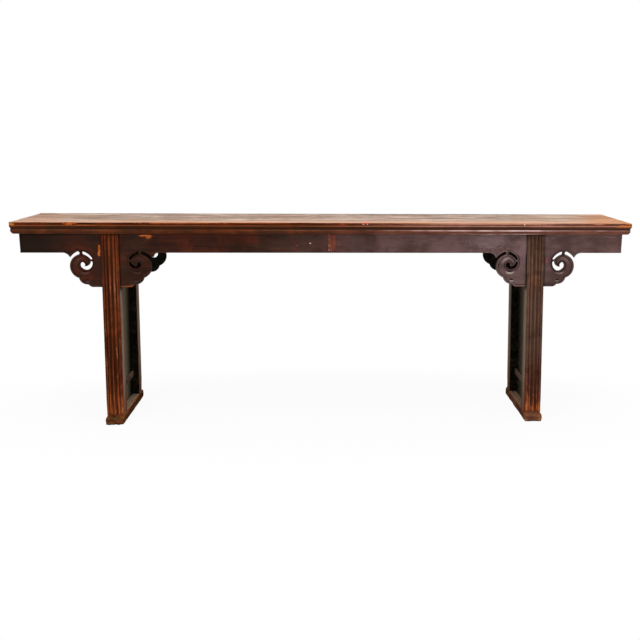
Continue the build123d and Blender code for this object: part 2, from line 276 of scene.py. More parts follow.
def lacquer(name, axis, look, spots=()):
    f = Finish(bpy.data.materials.new(name))
    colour, roughness, height = lacquerCoat(f, axis, look, spots)
    return f.close(colour, roughness, height, look)


# the pale film on the end panels, dust with painted light: mottle, and from where to where it ends,
# in metres
filmNoise = ((60.0, 60.0, 40.0), 5.0, 0.75, 0.6)
filmSteps = {"depth": (-0.055, 0.125), "height": (0.585, 0.635), "facing": (0.3, 0.7)}


def shadedFrame(name, look):
    # end panels: a pale film of dust and painted light towards the front leg, near black painted
    # shade further in
    f = Finish(bpy.data.materials.new(name))
    colour, roughness, height = lacquerCoat(f, 2, look, ())
    mottle = f.cloud(*filmNoise)
    lower = f.rise(0.7 - f.part(2), 0.0, 0.5)
    near = 1.0 - f.rise(f.part(1) + (mottle - 0.5) * 0.06 + lower * 0.01, *filmSteps["depth"])
    near = near * (1.0 - f.rise(f.part(2), *filmSteps["height"]))
    # only on the faces that look at each other under the top
    near = near * f.rise(0.0 - f.facing(0) * f.part(0), *filmSteps["facing"])
    # the painted light is stronger on the left panel
    leftward = 0.55 + f.rise(0.0 - f.part(0), 0.0, 0.2) * 0.45
    colour = f.mix(near * leftward * (0.6 + mottle * 0.6), colour, look["film"])
    return f.close(colour, roughness, height, look)


# colours are given as they look on a screen, 0 to 255
lacquerLook = {
    "deep": (34, 17, 10), "body": (58, 24, 14), "thin": (98, 38, 18),
    "bare": (176, 98, 44), "dirt": (11, 7, 4), "dusty": (128, 106, 92),
    "olive": (44, 31, 20), "wander": 0.5, "chalk": (114, 90, 70),
    # the rubbed tones carry a painted highlight, paler towards the right
    "rubbed": (92, 68, 52), "rubbedFar": (140, 114, 106), "rubNear": 0.45, "rubFar": 0.5,
    # the faded tone towards the right is partly painted sheen
    "fadeDark": (72, 51, 47), "fadePale": (109, 84, 83), "fade": 0.94,
    "fadeFrom": -0.42, "fadeTo": 0.88, "fadeBack": 0.35, "blush": 0.3, "raggedWear": 0.5,
    "thinAt": 0.35, "thinAmount": 0.85, "bareAt": 0.72, "bareAmount": 0.9,
    "grime": 0.9, "fibre": 0.2, "dust": 0.0, "rough": 0.42, "relief": 0.25, "specular": 0.04,
    # colours of painted shade on hidden faces and of painted highlights
    "soot": (10, 8, 5), "sootPale": (30, 26, 17), "shine": (186, 170, 164),
    "drips": 0.0, "mottle": 0.4, "oliveFar": (70, 60, 54), "fadeUp": 0.0,
}


def asLook(values):
    return {key: paint(*value) if isinstance(value, tuple) else value
            for key, value in values.items()}


def tuned(**changes):
    return asLook({**lacquerLook, **changes})


def spotsAt(y, deep, rows):
    # marks on a front face: across, height, half width, half height in millimetres, colour, share
    return [((x * mm, y, z * mm), (wide * mm, deep, high * mm), shade, share)
            for x, z, wide, high, shade, share in rows]


apronSpots = spotsAt(-0.179, 0.02, [
    (-782, 854, 36, 4, (190, 96, 36), 0.85),
    (-768, 848, 14, 8, (170, 88, 36), 0.75),
    (-982, 790, 6, 27, (168, 82, 30), 0.9),
    (-986, 774, 5, 13, (196, 112, 48), 0.7),
    (985, 745, 6, 16, (150, 62, 70), 0.6),
    (-68, 822, 4.5, 2.5, (214, 186, 156), 1.0),
    (-125, 812, 6, 4, (96, 70, 66), 0.6),
    (1260, 852, 35, 2.5, (120, 84, 74), 0.7),
    # the next two pale patches are painted sheen
    (720, 835, 100, 40, (132, 106, 108), 0.4),
    (920, 830, 80, 40, (118, 94, 90), 0.3),
    (580, 830, 100, 60, (76, 54, 52), 0.22),
]) + spotsAt(-0.179, 0.03, [
    (-860, 631, 45, 3.5, (150, 74, 30), 0.8),
    (-845, 637.5, 20, 4, (118, 44, 28), 0.45),
    (830, 631, 50, 3, (150, 84, 66), 0.7),
])
apronFinish = lacquer("apronLacquer", 0, tuned(drips=0.25), apronSpots)
keyFinish = lacquer("keyLacquer", 2, tuned(
    deep=(78, 38, 28), body=(104, 54, 42), thin=(132, 78, 58), fade=0.0, wander=0.0,
    rubNear=0.95, rubFar=0.95, rubbed=(176, 146, 122), rubbedFar=(176, 146, 122)))
legSpots = spotsAt(-0.188, 0.03, [
    (928, 664, 30, 22, (128, 84, 62), 0.55),
    (946, 640, 20, 16, (116, 74, 54), 0.5),
    (-962, 720, 16, 130, (58, 34, 24), 0.7),
])
legFinish = lacquer("legLacquer", 2, tuned(
    deep=(58, 22, 10), body=(110, 51, 27), thin=(152, 80, 42), bare=(204, 112, 48),
    olive=(76, 42, 22), wander=0.45, fadeDark=(62, 45, 36), fadePale=(97, 72, 60),
    fade=0.95, fadeFrom=-0.5, fadeTo=0.6, fadeBack=0.0, rubbed=(150, 92, 68),
    rubbedFar=(120, 88, 74), rubNear=0.55, rubFar=0.4, grime=0.75, dirt=(26, 14, 8),
    thinAt=0.44, bareAt=0.78, fibre=0.35, drips=0.5, raggedWear=0.9, fadeUp=0.8, specular=0.0,
    chalk=(145, 130, 116)), legSpots)
mouldingFinish = lacquer("mouldingLacquer", 0, tuned(
    deep=(52, 24, 9), body=(83, 38, 15), thin=(116, 54, 24),
    fadeDark=(88, 50, 40), fadePale=(118, 72, 58), fade=0.85, fadeBack=0.0,
    rubbed=(130, 70, 38), rubbedFar=(200, 168, 162), rubNear=0.8, rubFar=0.95,
    dirt=(30, 18, 7), thinAt=0.45, bareAt=0.85, wander=0.3, drips=0.2))
stretcherFinish = lacquer("stretcherLacquer", 1, tuned(
    body=(92, 74, 58), deep=(58, 44, 32), thin=(116, 94, 74), dust=0.6, fade=0.3,
    rough=0.7, specular=0.02))
shoeSpots = spotsAt(-0.21, 0.02, [
    (-953, 33, 52, 6, (76, 54, 30), 0.65),
    (-984, 22, 10, 12, (66, 32, 18), 0.7),
    (-925, 8, 24, 6, (70, 38, 16), 0.65),
    (-970, 12, 16, 5, (110, 66, 36), 0.5),
    (944, 22, 26, 7, (80, 46, 38), 0.75),
    (968, 12, 16, 5, (96, 66, 34), 0.7),
    (918, 8, 12, 8, (150, 104, 74), 0.6),
    (986, 10, 12, 10, (150, 98, 68), 0.6),
])
shoeFinish = lacquer("shoeLacquer", 1, tuned(
    deep=(54, 28, 13), body=(102, 55, 29), thin=(136, 78, 42), olive=(72, 50, 28),
    fadeDark=(72, 42, 29), fadePale=(110, 70, 50), fadeFrom=-0.2, bare=(184, 108, 52),
    dust=0.85, dusty=(176, 148, 120), thinAt=0.45, bareAt=0.78, relief=0.7, rough=0.7,
    specular=0.0), shoeSpots)
# the near black colours are painted shade of the space between the legs
panelFinish = shadedFrame("panelLacquer", tuned(
    deep=(5, 5, 3), body=(9, 8, 5), thin=(20, 17, 10), fade=0.0, blush=0.2,
    olive=(13, 12, 7), rough=0.7, specular=0.0, film=(122, 112, 90)))
battenFinish = lacquer("battenWood", 1, tuned(
    deep=(48, 30, 20), body=(84, 56, 38), thin=(104, 68, 44), fade=0.2, rough=0.6))


# noises of the top face: features per metre along x, y, z, detail, roughness, warp
topNoise = {
    "streak": ((2.6, 30.0, 30.0), 5.0, 0.7, 0.6), "fine": ((14.0, 120.0, 90.0), 4.0, 0.7, 0.3),
    "blotch": ((7.0, 13.0, 8.0), 5.0, 0.7, 0.8), "ragged": ((34.0, 34.0, 34.0), 4.0, 0.65, 0.3),
    "wide": ((4.0, 9.0, 8.0), 4.0, 0.65, 0.8),
}
# from where to where each layer of it comes in, and the most it covers
topLayers = {
    "grey": (0.5, 0.58, 0.65), "dark": (0.48, 0.6, 0.45), "blush": (0.52, 0.6, 0.45),
    "edge": (0.172, 0.2, 0.75), "bright": (0.75, 1.1, 0.35), "rightEnd": (1.1, 1.28, 0.85),
    "leftEnd": (1.08, 1.3, 0.6), "wear": (0.55, 0.85, 0.55), "grime": (0.2, 0.8, 0.8),
}
topSteps = {
    "rearward": (-0.1, 0.2), "grain": (0.42, 0.53), "front": (0.105, 0.19),
    "stain": (0.7, 0.82), "stained": (0.42, 0.58), "upper": (0.8, 0.98),
}


def topWood(name, look, rimLook, spots):
    # rubbed pale top face over a lacquered rim; the pale face is worn, dusty wood lightened with
    # painted sheen, and its grey layer is painted sheen
    f = Finish(bpy.data.materials.new(name))
    rim, rimRough, rimHeight = lacquerCoat(f, 0, rimLook, ())
    streak, fine, blotch, ragged, wide = (f.cloud(*row) for row in topNoise.values())
    steps = topSteps

    def laid(layer, value, tone):
        low, high, share = topLayers[layer]
        return f.mix(f.rise(value, low, high) * share, face, look[tone])

    rearward = f.rise(f.part(1) + (wide - 0.5) * 0.3, *steps["rearward"])
    face = f.mix(f.rise(streak - rearward * 0.03, *steps["grain"]), look["dark"], look["pale"])
    face = laid("grey", blotch, "grey")
    face = laid("dark", fine, "dark")
    face = laid("blush", fine * 0.5 + wide * 0.5, "blush")
    front = f.rise(0.0 - f.part(1) + (blotch - 0.5) * 0.12, *steps["front"])
    face = f.mix(front * 0.8, face, look["strip"])
    face = laid("edge", f.part(1) + (blotch - 0.5) * 0.03, "edge")
    face = laid("bright", f.part(0) + (wide - 0.5) * 0.4, "bright")
    face = laid("rightEnd", f.part(0) + (streak - 0.5) * 0.5 - f.part(1) * 0.35, "rightEnd")
    face = laid("leftEnd", 0.0 - f.part(0) + (blotch - 0.5) * 0.3, "leftEnd")
    dark = f.rise(streak + fine * 0.4 + rearward * 0.05, *steps["stain"])
    dark = dark * f.rise(wide, *steps["stained"])
    face = f.mix(dark * 0.75 * (1.0 - front * 0.7), face, look["stain"])
    face = laid("wear", f.mark("wear") + (ragged - 0.5) * 0.6 + (streak - 0.5) * 0.3, "strip")
    # the dark seam, and the painted shade under the lower arris
    face = laid("grime", f.mark("grime") + (ragged - 0.5) * 0.3, "stain")
    upper = f.rise(f.facing(2) + (ragged - 0.5) * 0.16, *steps["upper"])
    colour = f.mix(upper, rim, face)
    colour = f.touched(colour, spots, ragged, grain(f, 0, "speck"))
    roughness = rimRough + upper * (look["rough"] + (blotch - 0.5) * 0.2 - rimRough)
    height = rimHeight + upper * (streak * 0.8 + fine * 0.7 - rimHeight)
    return f.close(colour, roughness, height, look)


topTone = {
    "pale": (226, 199, 181), "dark": (154, 122, 102), "grey": (173, 157, 140),
    "blush": (216, 168, 144), "strip": (226, 171, 137), "rightEnd": (220, 154, 110),
    "leftEnd": (216, 166, 138), "bright": (236, 198, 170),
    "stain": (96, 72, 54), "edge": (70, 54, 42), "rough": 0.6, "relief": 0.5,
    "specular": 0.02,
}
rimTone = tuned(
    deep=(44, 14, 2), body=(78, 27, 5), thin=(116, 48, 17), bare=(180, 96, 40),
    olive=(58, 28, 10), wander=0.4, fadeDark=(76, 42, 34), fadePale=(128, 84, 70),
    fade=0.9, fadeFrom=-0.2, fadeTo=0.9, fadeBack=0.5, thinAt=0.46, bareAt=0.78, blush=0.3,
    rubbed=(128, 74, 44), rubbedFar=(190, 134, 110), rubNear=0.85, rubFar=0.75, drips=0.35)
rimSpots = spotsAt(-0.21, 0.02, [
    (-1098, 909, 20, 5, (176, 82, 26), 0.9),
    (-1072, 911, 12, 3, (150, 66, 22), 0.8),
    (-300, 914, 160, 2.5, (160, 80, 42), 0.5),
    (-620, 912, 200, 3, (150, 72, 34), 0.6),
    (-1020, 903, 50, 3, (150, 72, 28), 0.6),
    (172, 913, 16, 3.5, (196, 66, 46), 0.6),
    (163, 909, 3.5, 2.5, (206, 172, 154), 0.7),
    (181, 909, 3, 2.5, (200, 164, 146), 0.7),
    (75, 909, 16, 3, (176, 62, 48), 0.6),
    (1040, 909, 120, 4, (86, 44, 40), 0.8),
    (1190, 907, 70, 4, (96, 46, 30), 0.8),
    (870, 909, 3, 6, (222, 176, 150), 0.8),
    (1200, 910, 25, 2, (186, 122, 88), 0.6),
]) + [
    # at the corners, and two on the top itself, in metres
    ((1.31, -0.21, 0.902), (0.045, 0.03, 0.006), (172, 96, 48), 0.7),
    ((-1.338, -0.2, 0.907), (0.016, 0.03, 0.009), (176, 108, 44), 0.8),
    ((-1.332, -0.205, 0.899), (0.014, 0.02, 0.004), (104, 60, 26), 0.7),
    ((0.9, -0.08, 0.916), (0.16, 0.012, 0.02), (128, 98, 74), 0.5),
    ((1.2, -0.02, 0.916), (0.16, 0.009, 0.02), (140, 84, 50), 0.75),
]
topFinish = topWood("topWood", asLook(topTone), rimTone, rimSpots)
print("finishes ready")


# mesh helpers


def blank(name, verts, faces, finish, marks, replaced, keen=38.0):
    # mesh piece from millimetre points; marks are point attributes the finish reads, and
    # edges keener than so many degrees stay sharp
    mesh = bpy.data.meshes.new(name)
    mesh.from_pydata((verts * mm).tolist(), [], [tuple(int(i) for i in face) for face in faces])
    mesh.validate()
    mesh.shade_smooth()
    mesh.set_sharp_from_angle(angle=math.radians(keen))
    for key, values in marks.items():
        layer = mesh.attributes.new(key, "FLOAT", "POINT")
        layer.data.foreach_set("value", np.asarray(values, np.float32))
    mesh.materials.append(finish)
    piece = bpy.data.objects.new(name, mesh)
    bpy.context.scene.collection.objects.link(piece)
    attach(piece, "root")
    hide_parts(replaced)


def waver(points, scale, seed):
    # smooth noise about 0 at each point; scale is in features per millimetre along each axis
    scaled = np.asarray(points, float) * np.asarray(scale, float) + seed * 17.31
    return np.array([noise.noise(Vector(point)) for point in scaled])


def smooth(low, high, values):
    t = np.clip((np.asarray(values, float) - low) / (high - low), 0.0, 1.0)
    return t * t * (3.0 - 2.0 * t)


def hump(values, centre, width):
    # bell curve, 1 at the centre
    return np.exp(-((values - centre) / width) ** 2)


def turned(faces):
    return [tuple(reversed(face)) for face in faces]


def sweep(profile, shares, place):
    # closed section carried along a run; place puts one section point at one share of the run
    verts = np.array([place(share, inset, z) for share in shares for inset, z in profile])
    rows, count = len(profile), len(shares) - 1
    faces = []
    for i in range(count):
        for j in range(rows):
            n = (j + 1) % rows
            faces.append((i * rows + j, (i + 1) * rows + j, (i + 1) * rows + n, i * rows + n))
    faces.append(tuple(range(rows)))
    faces.append(tuple(count * rows + j for j in reversed(range(rows))))
    return verts, faces


def slab(spans, profiles, sides, steps):
    # solid with a gridded top and bottom and rings between them.
    # spans is ((a0, a1), (b0, b1)); a profile is a list of (inset, height) from the top grid's rim
    # to the bottom grid's; sides names the profile on a0, a1, b0, b1
    (a0, a1), (b0, b1) = spans
    countA, countB = steps
    rim = ([(i, 0) for i in range(countA + 1)] + [(countA, j) for j in range(1, countB + 1)]
           + [(i, countB) for i in range(countA - 1, -1, -1)]
           + [(0, j) for j in range(countB - 1, 0, -1)])
    depth = len(next(iter(profiles.values())))

    def ring(level):
        low = [profiles[side][level] for side in sides]
        grid = np.zeros((countA + 1, countB + 1, 3))
        grid[..., 0] = np.linspace(a0 + low[0][0], a1 - low[1][0], countA + 1)[:, None]
        grid[..., 1] = np.linspace(b0 + low[2][0], b1 - low[3][0], countB + 1)[None, :]
        heights = np.zeros((countA + 1, countB + 1))
        weights = np.zeros((countA + 1, countB + 1))
        every = slice(None)
        for border, entry in zip(((0, every), (countA, every), (every, 0), (every, countB)), low):
            heights[border] += entry[1]
            weights[border] += 1
        inner = weights == 0
        heights[~inner] /= weights[~inner]
        heights[inner] = np.mean([entry[1] for entry in low])
        grid[..., 2] = heights
        return grid

    top = ring(0)
    bottom = ring(depth - 1)
    verts = [top.reshape(-1, 3)]
    base = (countA + 1) * (countB + 1)
    loops = [[i * (countB + 1) + j for i, j in rim]]
    for level in range(1, depth - 1):
        grid = ring(level)
        verts.append(np.array([grid[i, j] for i, j in rim]))
        loops.append([base + k for k in range(len(rim))])
        base += len(rim)
    verts.append(bottom.reshape(-1, 3))
    loops.append([base + i * (countB + 1) + j for i, j in rim])
    faces = []
    for i in range(countA):
        for j in range(countB):
            corner = i * (countB + 1) + j
            quad = (corner, corner + countB + 1, corner + countB + 2, corner + 1)
            faces.append(quad)
            faces.append(tuple(base + k for k in reversed(quad)))
    for upper, lower in zip(loops, loops[1:]):
        for k in range(len(rim)):
            n = (k + 1) % len(rim)
            faces.append((upper[k], lower[k], lower[n], upper[n]))
    return np.vstack(verts), faces


def roundOver(radius, top, low, under, steps=5, underSteps=3, shares=(0.5,)):
    # profile of an edge: quarter round at the top, a smaller one underneath
    turns = [math.pi / 2 * k / steps for k in range(steps + 1)]
    upper = [(radius * (1 - math.sin(t)), top - radius * (1 - math.cos(t))) for t in turns]
    turns = [math.pi / 2 * k / underSteps for k in range(underSteps + 1)]
    lower = [(under * (1 - math.cos(t)), low + under * (1 - math.sin(t))) for t in turns]
    gap = (top - radius) - (low + under)
    middle = [(0.0, low + under + gap * share) for share in shares]
    return upper + middle + lower


def softCorner(verts, corner, radius):
    # round a vertical corner of the points in place; corner is (x, y), any of the four
    pull = verts[:, :2] - np.asarray(corner)
    way = -np.sign(corner)
    inward = pull * way
    near = (inward[:, 0] < radius) & (inward[:, 1] < radius)
    gap = radius - inward[near]
    reach = np.hypot(gap[:, 0], gap[:, 1])
    over = reach > radius
    scale = np.where(over, radius / np.maximum(reach, 1e-6), 1.0)
    gap = gap * scale[:, None]
    verts[near, :2] = np.asarray(corner) + (radius - gap) * way


def arc(start, middle, end, step):
    # points along the arc through three points, the first one left out
    (ax, ay), (bx, by), (cx, cy) = start, middle, end
    d = 2 * (ax * (by - cy) + bx * (cy - ay) + cx * (ay - by))
    a2, b2, c2 = ax * ax + ay * ay, bx * bx + by * by, cx * cx + cy * cy
    ox = (a2 * (by - cy) + b2 * (cy - ay) + c2 * (ay - by)) / d
    oy = (a2 * (cx - bx) + b2 * (ax - cx) + c2 * (bx - ax)) / d
    radius = math.hypot(ax - ox, ay - oy)
    t0 = math.atan2(ay - oy, ax - ox)
    t1 = math.atan2(by - oy, bx - ox)
    t2 = math.atan2(cy - oy, cx - ox)
    full = 2 * math.pi
    sweep = (t2 - t0) % full
    if (t1 - t0) % full > sweep:
        sweep -= full
    count = max(3, math.ceil(abs(sweep) * radius / step))
    return [(ox + radius * math.cos(t0 + sweep * k / count),
             oy + radius * math.sin(t0 + sweep * k / count)) for k in range(1, count + 1)]


def trace(start, steps, step, straight):
    # polyline through straight steps and (middle, end) arcs
    points = [start]
    for move in steps:
        here = points[-1]
        if isinstance(move[0], tuple):
            points += arc(here, move[0], move[1], step)
        else:
            length = math.dist(here, move)
            count = max(1, math.ceil(length / straight))
            points += [(here[0] + (move[0] - here[0]) * k / count,
                        here[1] + (move[1] - here[1]) * k / count) for k in range(1, count + 1)]
    return points


def reachTo(points, lines):
    # distance of each point to the nearest of several polylines
    starts = np.vstack([np.asarray(line)[:-1] for line in lines])
    ends = np.vstack([np.asarray(line)[1:] for line in lines])
    run = ends - starts
    size = np.maximum((run ** 2).sum(1), 1e-12)
    found = []
    for part in np.array_split(np.asarray(points, float), max(1, len(points) // 1500)):
        off = part[:, None, :] - starts[None]
        t = np.clip((off * run[None]).sum(2) / size[None], 0.0, 1.0)
        gap = off - t[..., None] * run[None]
        found.append(np.sqrt((gap ** 2).sum(2)).min(1))
    return np.concatenate(found)


def within(points, loop):
    # even-odd test of points against a closed loop
    points = np.asarray(points, float)
    loop = np.asarray(loop, float)
    x, y = points[:, 0][:, None], points[:, 1][:, None]
    x0, y0 = loop[:, 0][None], loop[:, 1][None]
    x1, y1 = np.roll(loop[:, 0], -1)[None], np.roll(loop[:, 1], -1)[None]
    crosses = ((y0 > y) != (y1 > y)) & (x < (x1 - x0) * (y - y0) / (y1 - y0 + 1e-15) + x0)
    return crosses.sum(1) % 2 == 1


def inBoard(points, loop, slots):
    # inside the outline and outside every slot
    inside = within(points, loop)
    for slot in slots:
        inside &= ~within(points, slot[:-1])
    return inside


def filled(coords, links, loop, slots, blend, way):
    # triangles over the board between fixed links, all wound one way
    made, _, found, origin, _, _ = delaunay_2d_cdt([Vector(c) for c in coords], links, [], 0, blend)
    flat = np.array([tuple(v) for v in made])
    tris = np.array([tuple(face) for face in found])
    tris = tris[inBoard(flat[tris].mean(1), loop, slots)]
    a, b, c = flat[tris[:, 0]], flat[tris[:, 1]], flat[tris[:, 2]]
    area = (b[:, 0] - a[:, 0]) * (c[:, 1] - a[:, 1]) - (c[:, 0] - a[:, 0]) * (b[:, 1] - a[:, 1])
    wrong = area * way < 0
    tris[wrong] = tris[wrong][:, ::-1]
    return flat, tris, origin


def offsets(line, depths, closed, left):
    # candidate points set in from a polyline; extra ones fan round inward corners
    line = np.asarray(line, float)
    if closed:
        line = line[:-1]
        before, after = np.roll(line, 1, 0), np.roll(line, -1, 0)
    else:
        before = np.vstack([2 * line[0] - line[1], line[:-1]])
        after = np.vstack([line[1:], 2 * line[-1] - line[-2]])
    made = []
    for point, a, b in zip(line, line - before, after - line):
        t0, t1 = math.atan2(a[1], a[0]), math.atan2(b[1], b[0])
        turn = (t1 - t0 + math.pi) % (2 * math.pi) - math.pi
        count = 1 if turn * left >= 0 else max(1, math.ceil(abs(turn) / 0.25))
        spread = [0.5] if count == 1 else [k / count for k in range(count + 1)]
        for share in spread:
            t = t0 + turn * share + left * math.pi / 2
            made += [(point[0] + math.cos(t) * depth, point[1] + math.sin(t) * depth, depth)
                     for depth in depths]
    return np.array(made)


print("helpers ready")


# top planks

topLook = {
    "round": 6.0, "under": 2.5, "seam": 0.9, "gap": 0.15, "stepAlong": 7.0, "rows": 16,
    "hollows": 0.7, "rimWear": 1.3, "nickSeed": 11, "nicks": 34, "cornerRound": 7.0,
    "cutCorner": 1.6, "lowerArris": (901.4, 1.9), "upperArris": (903.0, 913.5),
    "bands": (0.85, 0.6, 0.4, 0.27, 0.16, 0.06),
    # where marks begin and end: along the table, across it, up it, or from a rim or corner
    "rim": (0.0, 14.0), "toRight": (-100.0, 700.0), "pastRight": (900.0, 1150.0),
    "corner": (6.0, 34.0), "rightRim": (1150.0, 1330.0), "seamGrime": (0.3, 3.0),
    "lowGrime": (896.6, 899.4), "pulled": 7.0, "nickReach": 9.0,
}


def nickList(look, y):
    # places where the front arris has been knocked: (x, half width, depth)
    pick = random.Random(look["nickSeed"] + (1 if y > 0 else 0))
    return [(pick.uniform(-1345, 1345), pick.uniform(4, 22), pick.uniform(0.5, 2.2))
            for _ in range(look["nicks"])]


def topPlank(name, side, replaced):
    look = topLook
    top, low = table["height"], table["plankLow"]
    half, depth = table["halfLength"], table["halfDepth"]
    profiles = {"rim": roundOver(look["round"], top, low, look["under"], shares=look["bands"]),
                "seam": roundOver(look["seam"], top, low, look["seam"], shares=look["bands"])}
    spanY = (-depth, -look["gap"]) if side < 0 else (look["gap"], depth)
    sides = ("rim", "rim", "rim", "seam") if side < 0 else ("rim", "rim", "seam", "rim")
    verts, faces = slab(((-half, half), spanY), profiles, sides,
                        (int(2 * half / look["stepAlong"]), look["rows"]))
    x, y, z = verts.T
    rimShare = 1.0 - smooth(*look["rim"], np.minimum(half - np.abs(x), depth - np.abs(y)))
    high = smooth(top - 12, top - 1, z)
    rub = waver(verts, (0.006, 0.02, 0.03), 3) + 0.6 * waver(verts, (0.03, 0.05, 0.05), 5)
    # the rim is pulled in where it has been rubbed or knocked
    pull = look["rimWear"] * rimShare * high * np.clip(rub + 0.45, 0.0, 1.0)
    for place, width, deep in nickList(look, side):
        edge = 1.0 - smooth(0.0, look["nickReach"], depth - np.abs(y))
        pull += hump(x, place, width) * deep * edge * high
    y -= np.sign(y) * pull * (depth - np.abs(y) < look["pulled"])
    x -= np.sign(x) * pull * (half - np.abs(x) < look["pulled"])
    sag = waver(verts, (0.004, 0.012, 0.0), 9) + 0.5 * waver(verts, (0.012, 0.06, 0.0), 13)
    z -= high * (look["hollows"] * np.clip(sag + 0.5, 0.0, 1.2) + pull * 0.5)
    for end in (-1, 1):
        cut = look["cutCorner"] if (end, side) == (-1, -1) else 1.0
        softCorner(verts, (end * half, side * depth), look["cornerRound"] * cut)
    # the arris lines are worn and carry a painted highlight that grows towards the right
    toRight = smooth(*look["toRight"], x) * (1.0 - 0.55 * smooth(*look["pastRight"], x))
    upperArris = rimShare * smooth(*look["upperArris"], z) * (0.05 + 0.95 * toRight)
    lowerArris = rimShare * hump(z, *look["lowerArris"])
    wear = 0.5 * upperArris + 0.45 * lowerArris + np.clip(pull * 0.3, 0, 0.6) * high
    cornerGap = np.hypot(half - np.abs(x), depth - np.abs(y))
    wear += 0.4 * (1.0 - smooth(*look["corner"], cornerGap))
    wear += 0.2 * rimShare * smooth(*look["rightRim"], x)
    # a dark joint along the seam, and painted shade under the lower arris
    grime = (1.0 - smooth(*look["seamGrime"], np.abs(y))) * 0.9
    grime = np.maximum(grime, rimShare * (1.0 - smooth(*look["lowGrime"], z)) * 0.8)
    blank(name, verts, faces, topFinish,
          {"wear": wear, "grime": grime, "rub": 0.9 * (upperArris + lowerArris)},
          replaced)


topPlank("topFront", -1, "top_front_plank")
topPlank("topRear", 1, "top_rear_plank")
print("top planks laid")


# moulded edge strips under the top

mouldingLook = {
    "neckInset": 6.6, "footInset": 9.0, "beadInset": 5.6, "hollowInset": 6.2, "lipInset": 3.0,
    "lipHeight": 1.0, "tuck": 17.0, "beadFoot": 6.0, "beadHead": 22.0, "width": 50.0,
    "station": 9.0, "rub": 0.7, "mitreGap": 0.15,
    # middle and half width of bands: up the strip, and of the painted highlight along the front one
    "beadCrest": (14.0, 3.8), "lipCrest": (31.5, 1.6), "beadPolish": (17.6, 3.0),
    "footPolish": (2.2, 1.7), "hollowGrime": (25.6, 4.2), "footGrime": (0.0, 2.0),
    "bright": (780.0, 290.0), "endWear": 26.0,
}


def mouldingProfile(look):
    # (inset from the rim, height): tuck, bead, hollow, lip, then the hidden back
    low, top = table["stripLow"], table["plankLow"]
    lip = top - look["lipHeight"]
    foot = (look["footInset"], low + look["beadFoot"])
    head = (look["neckInset"], low + look["beadHead"])
    tuckMiddle = (look["tuck"] + (foot[0] - look["tuck"]) * 0.62, low + look["beadFoot"] * 0.34)
    seen = trace((look["tuck"], low), [
        (tuckMiddle, foot),
        ((look["beadInset"], (foot[1] + head[1]) / 2), head),
        ((look["hollowInset"], (head[1] + lip) / 2), (look["lipInset"], lip)),
        (look["lipInset"], top - 0.1)], 1.2, 3.0)
    return seen, [(look["width"], top - 0.1), (look["width"], low)]


def edgeStrip(name, turn, halfRun, halfGap, replaced):
    # turn is the quarter turns from the front strip
    look = mouldingLook
    seen, back = mouldingProfile(look)
    shares = np.linspace(-1.0, 1.0, int(2 * halfRun / look["station"]) + 1)
    verts, faces = sweep(seen + back, shares, lambda share, inset, z: (
        share * (halfRun - look["mitreGap"] - inset), -halfGap + inset, z))
    x, y, z = verts.T
    shown = np.tile(np.arange(len(seen + back)) < len(seen), len(shares))
    heights = z - table["stripLow"]
    crest = hump(heights, *look["beadCrest"]) + 0.8 * hump(heights, *look["lipCrest"])
    rub = np.clip(waver(verts, (0.005, 0.0, 0.02), 21 + turn)
                  + 0.7 * waver(verts, (0.03, 0.0, 0.06), 25 + turn) + 0.3, 0.0, 1.0)
    y += shown * crest * rub * look["rub"]
    wear = shown * crest * (0.24 + 0.3 * rub)
    # painted highlight on the bead and foot, brightest on the right of the front strip
    bright = hump(x, *look["bright"]) * (turn == 0)
    plainer = 0.6 - 0.12 * smooth(0.0, 500.0, x) * (turn == 0)
    polish = hump(heights, *look["beadPolish"]) * (plainer + 0.87 * bright)
    polish += (plainer - 0.1 + 0.8 * bright) * hump(heights, *look["footPolish"])
    polish *= shown * (0.55 + 0.6 * rub)
    wear += 0.3 * shown * (1.0 - smooth(0.0, look["endWear"], halfRun - np.abs(x)))
    # painted shade in the hollow and under the foot of the strip
    hollow = 0.95 * hump(heights, *look["hollowGrime"])
    hollow += 0.35 * hump(heights, *look["footGrime"])
    for _ in range(turn):
        verts[:, 0], verts[:, 1] = -verts[:, 1].copy(), verts[:, 0].copy()
    blank(name, verts, faces, mouldingFinish,
          {"wear": wear, "grime": np.clip(hollow, 0, 1) * shown, "rub": polish},
          replaced)


for turn, hand in enumerate(("Front", "Right", "Rear", "Left")):
    spans = (table["halfLength"], table["halfDepth"])
    edgeStrip("moulding" + hand, turn, spans[turn % 2], spans[1 - turn % 2],
              "edge_strip_" + hand.lower())
print("mouldings fixed")


# aprons with carved cloud-scroll spandrels
# templates: distance from the leg's axis, height over the apron's lower edge

outlineTemplate = ((205.5, 0), [
    ((188.5, -5.6), (176.5, -22)), ((158, -4.6), (138.5, 5.6)), ((131.2, -1.4), (137, -8)),
    ((151.5, -14.8), (164.5, -26.5)), ((176, -60), (165, -94)), ((155, -103.5), (140.5, -111)),
    ((130, -130), (101.5, -139.7)), ((93, -147.6), (83.5, -151.5)), (0, -151.5)])
archTemplate = ((116.5, 5.5), [
    ((97, -4.2), (79.5, -22.5)), ((80.5, -29.5), (88.5, -28.8)), ((101.5, -16.5), (117.5, -8)),
    ((121.5, -1), (116.5, 5.5))])
spiralTemplate = ((77.8, -41), [
    ((80, -57.5), (91, -71.5)), ((108, -77.5), (124, -70)), ((132, -54), (122, -41)),
    ((112.3, -47), (113, -60)), ((98.5, -57.5), (88, -41)), ((83, -37.6), (77.8, -41))])

# the winding slot where it was left half cut
tightTemplate = ((106.0, -71.0), [
    ((108, -77), (114, -76.5)), ((123, -75.5), (130, -69)), ((136.5, -55), (126.5, -43)),
    ((117.5, -48), (118, -61)), ((116, -69), (110, -70.5)), ((107, -70), (106, -71))])

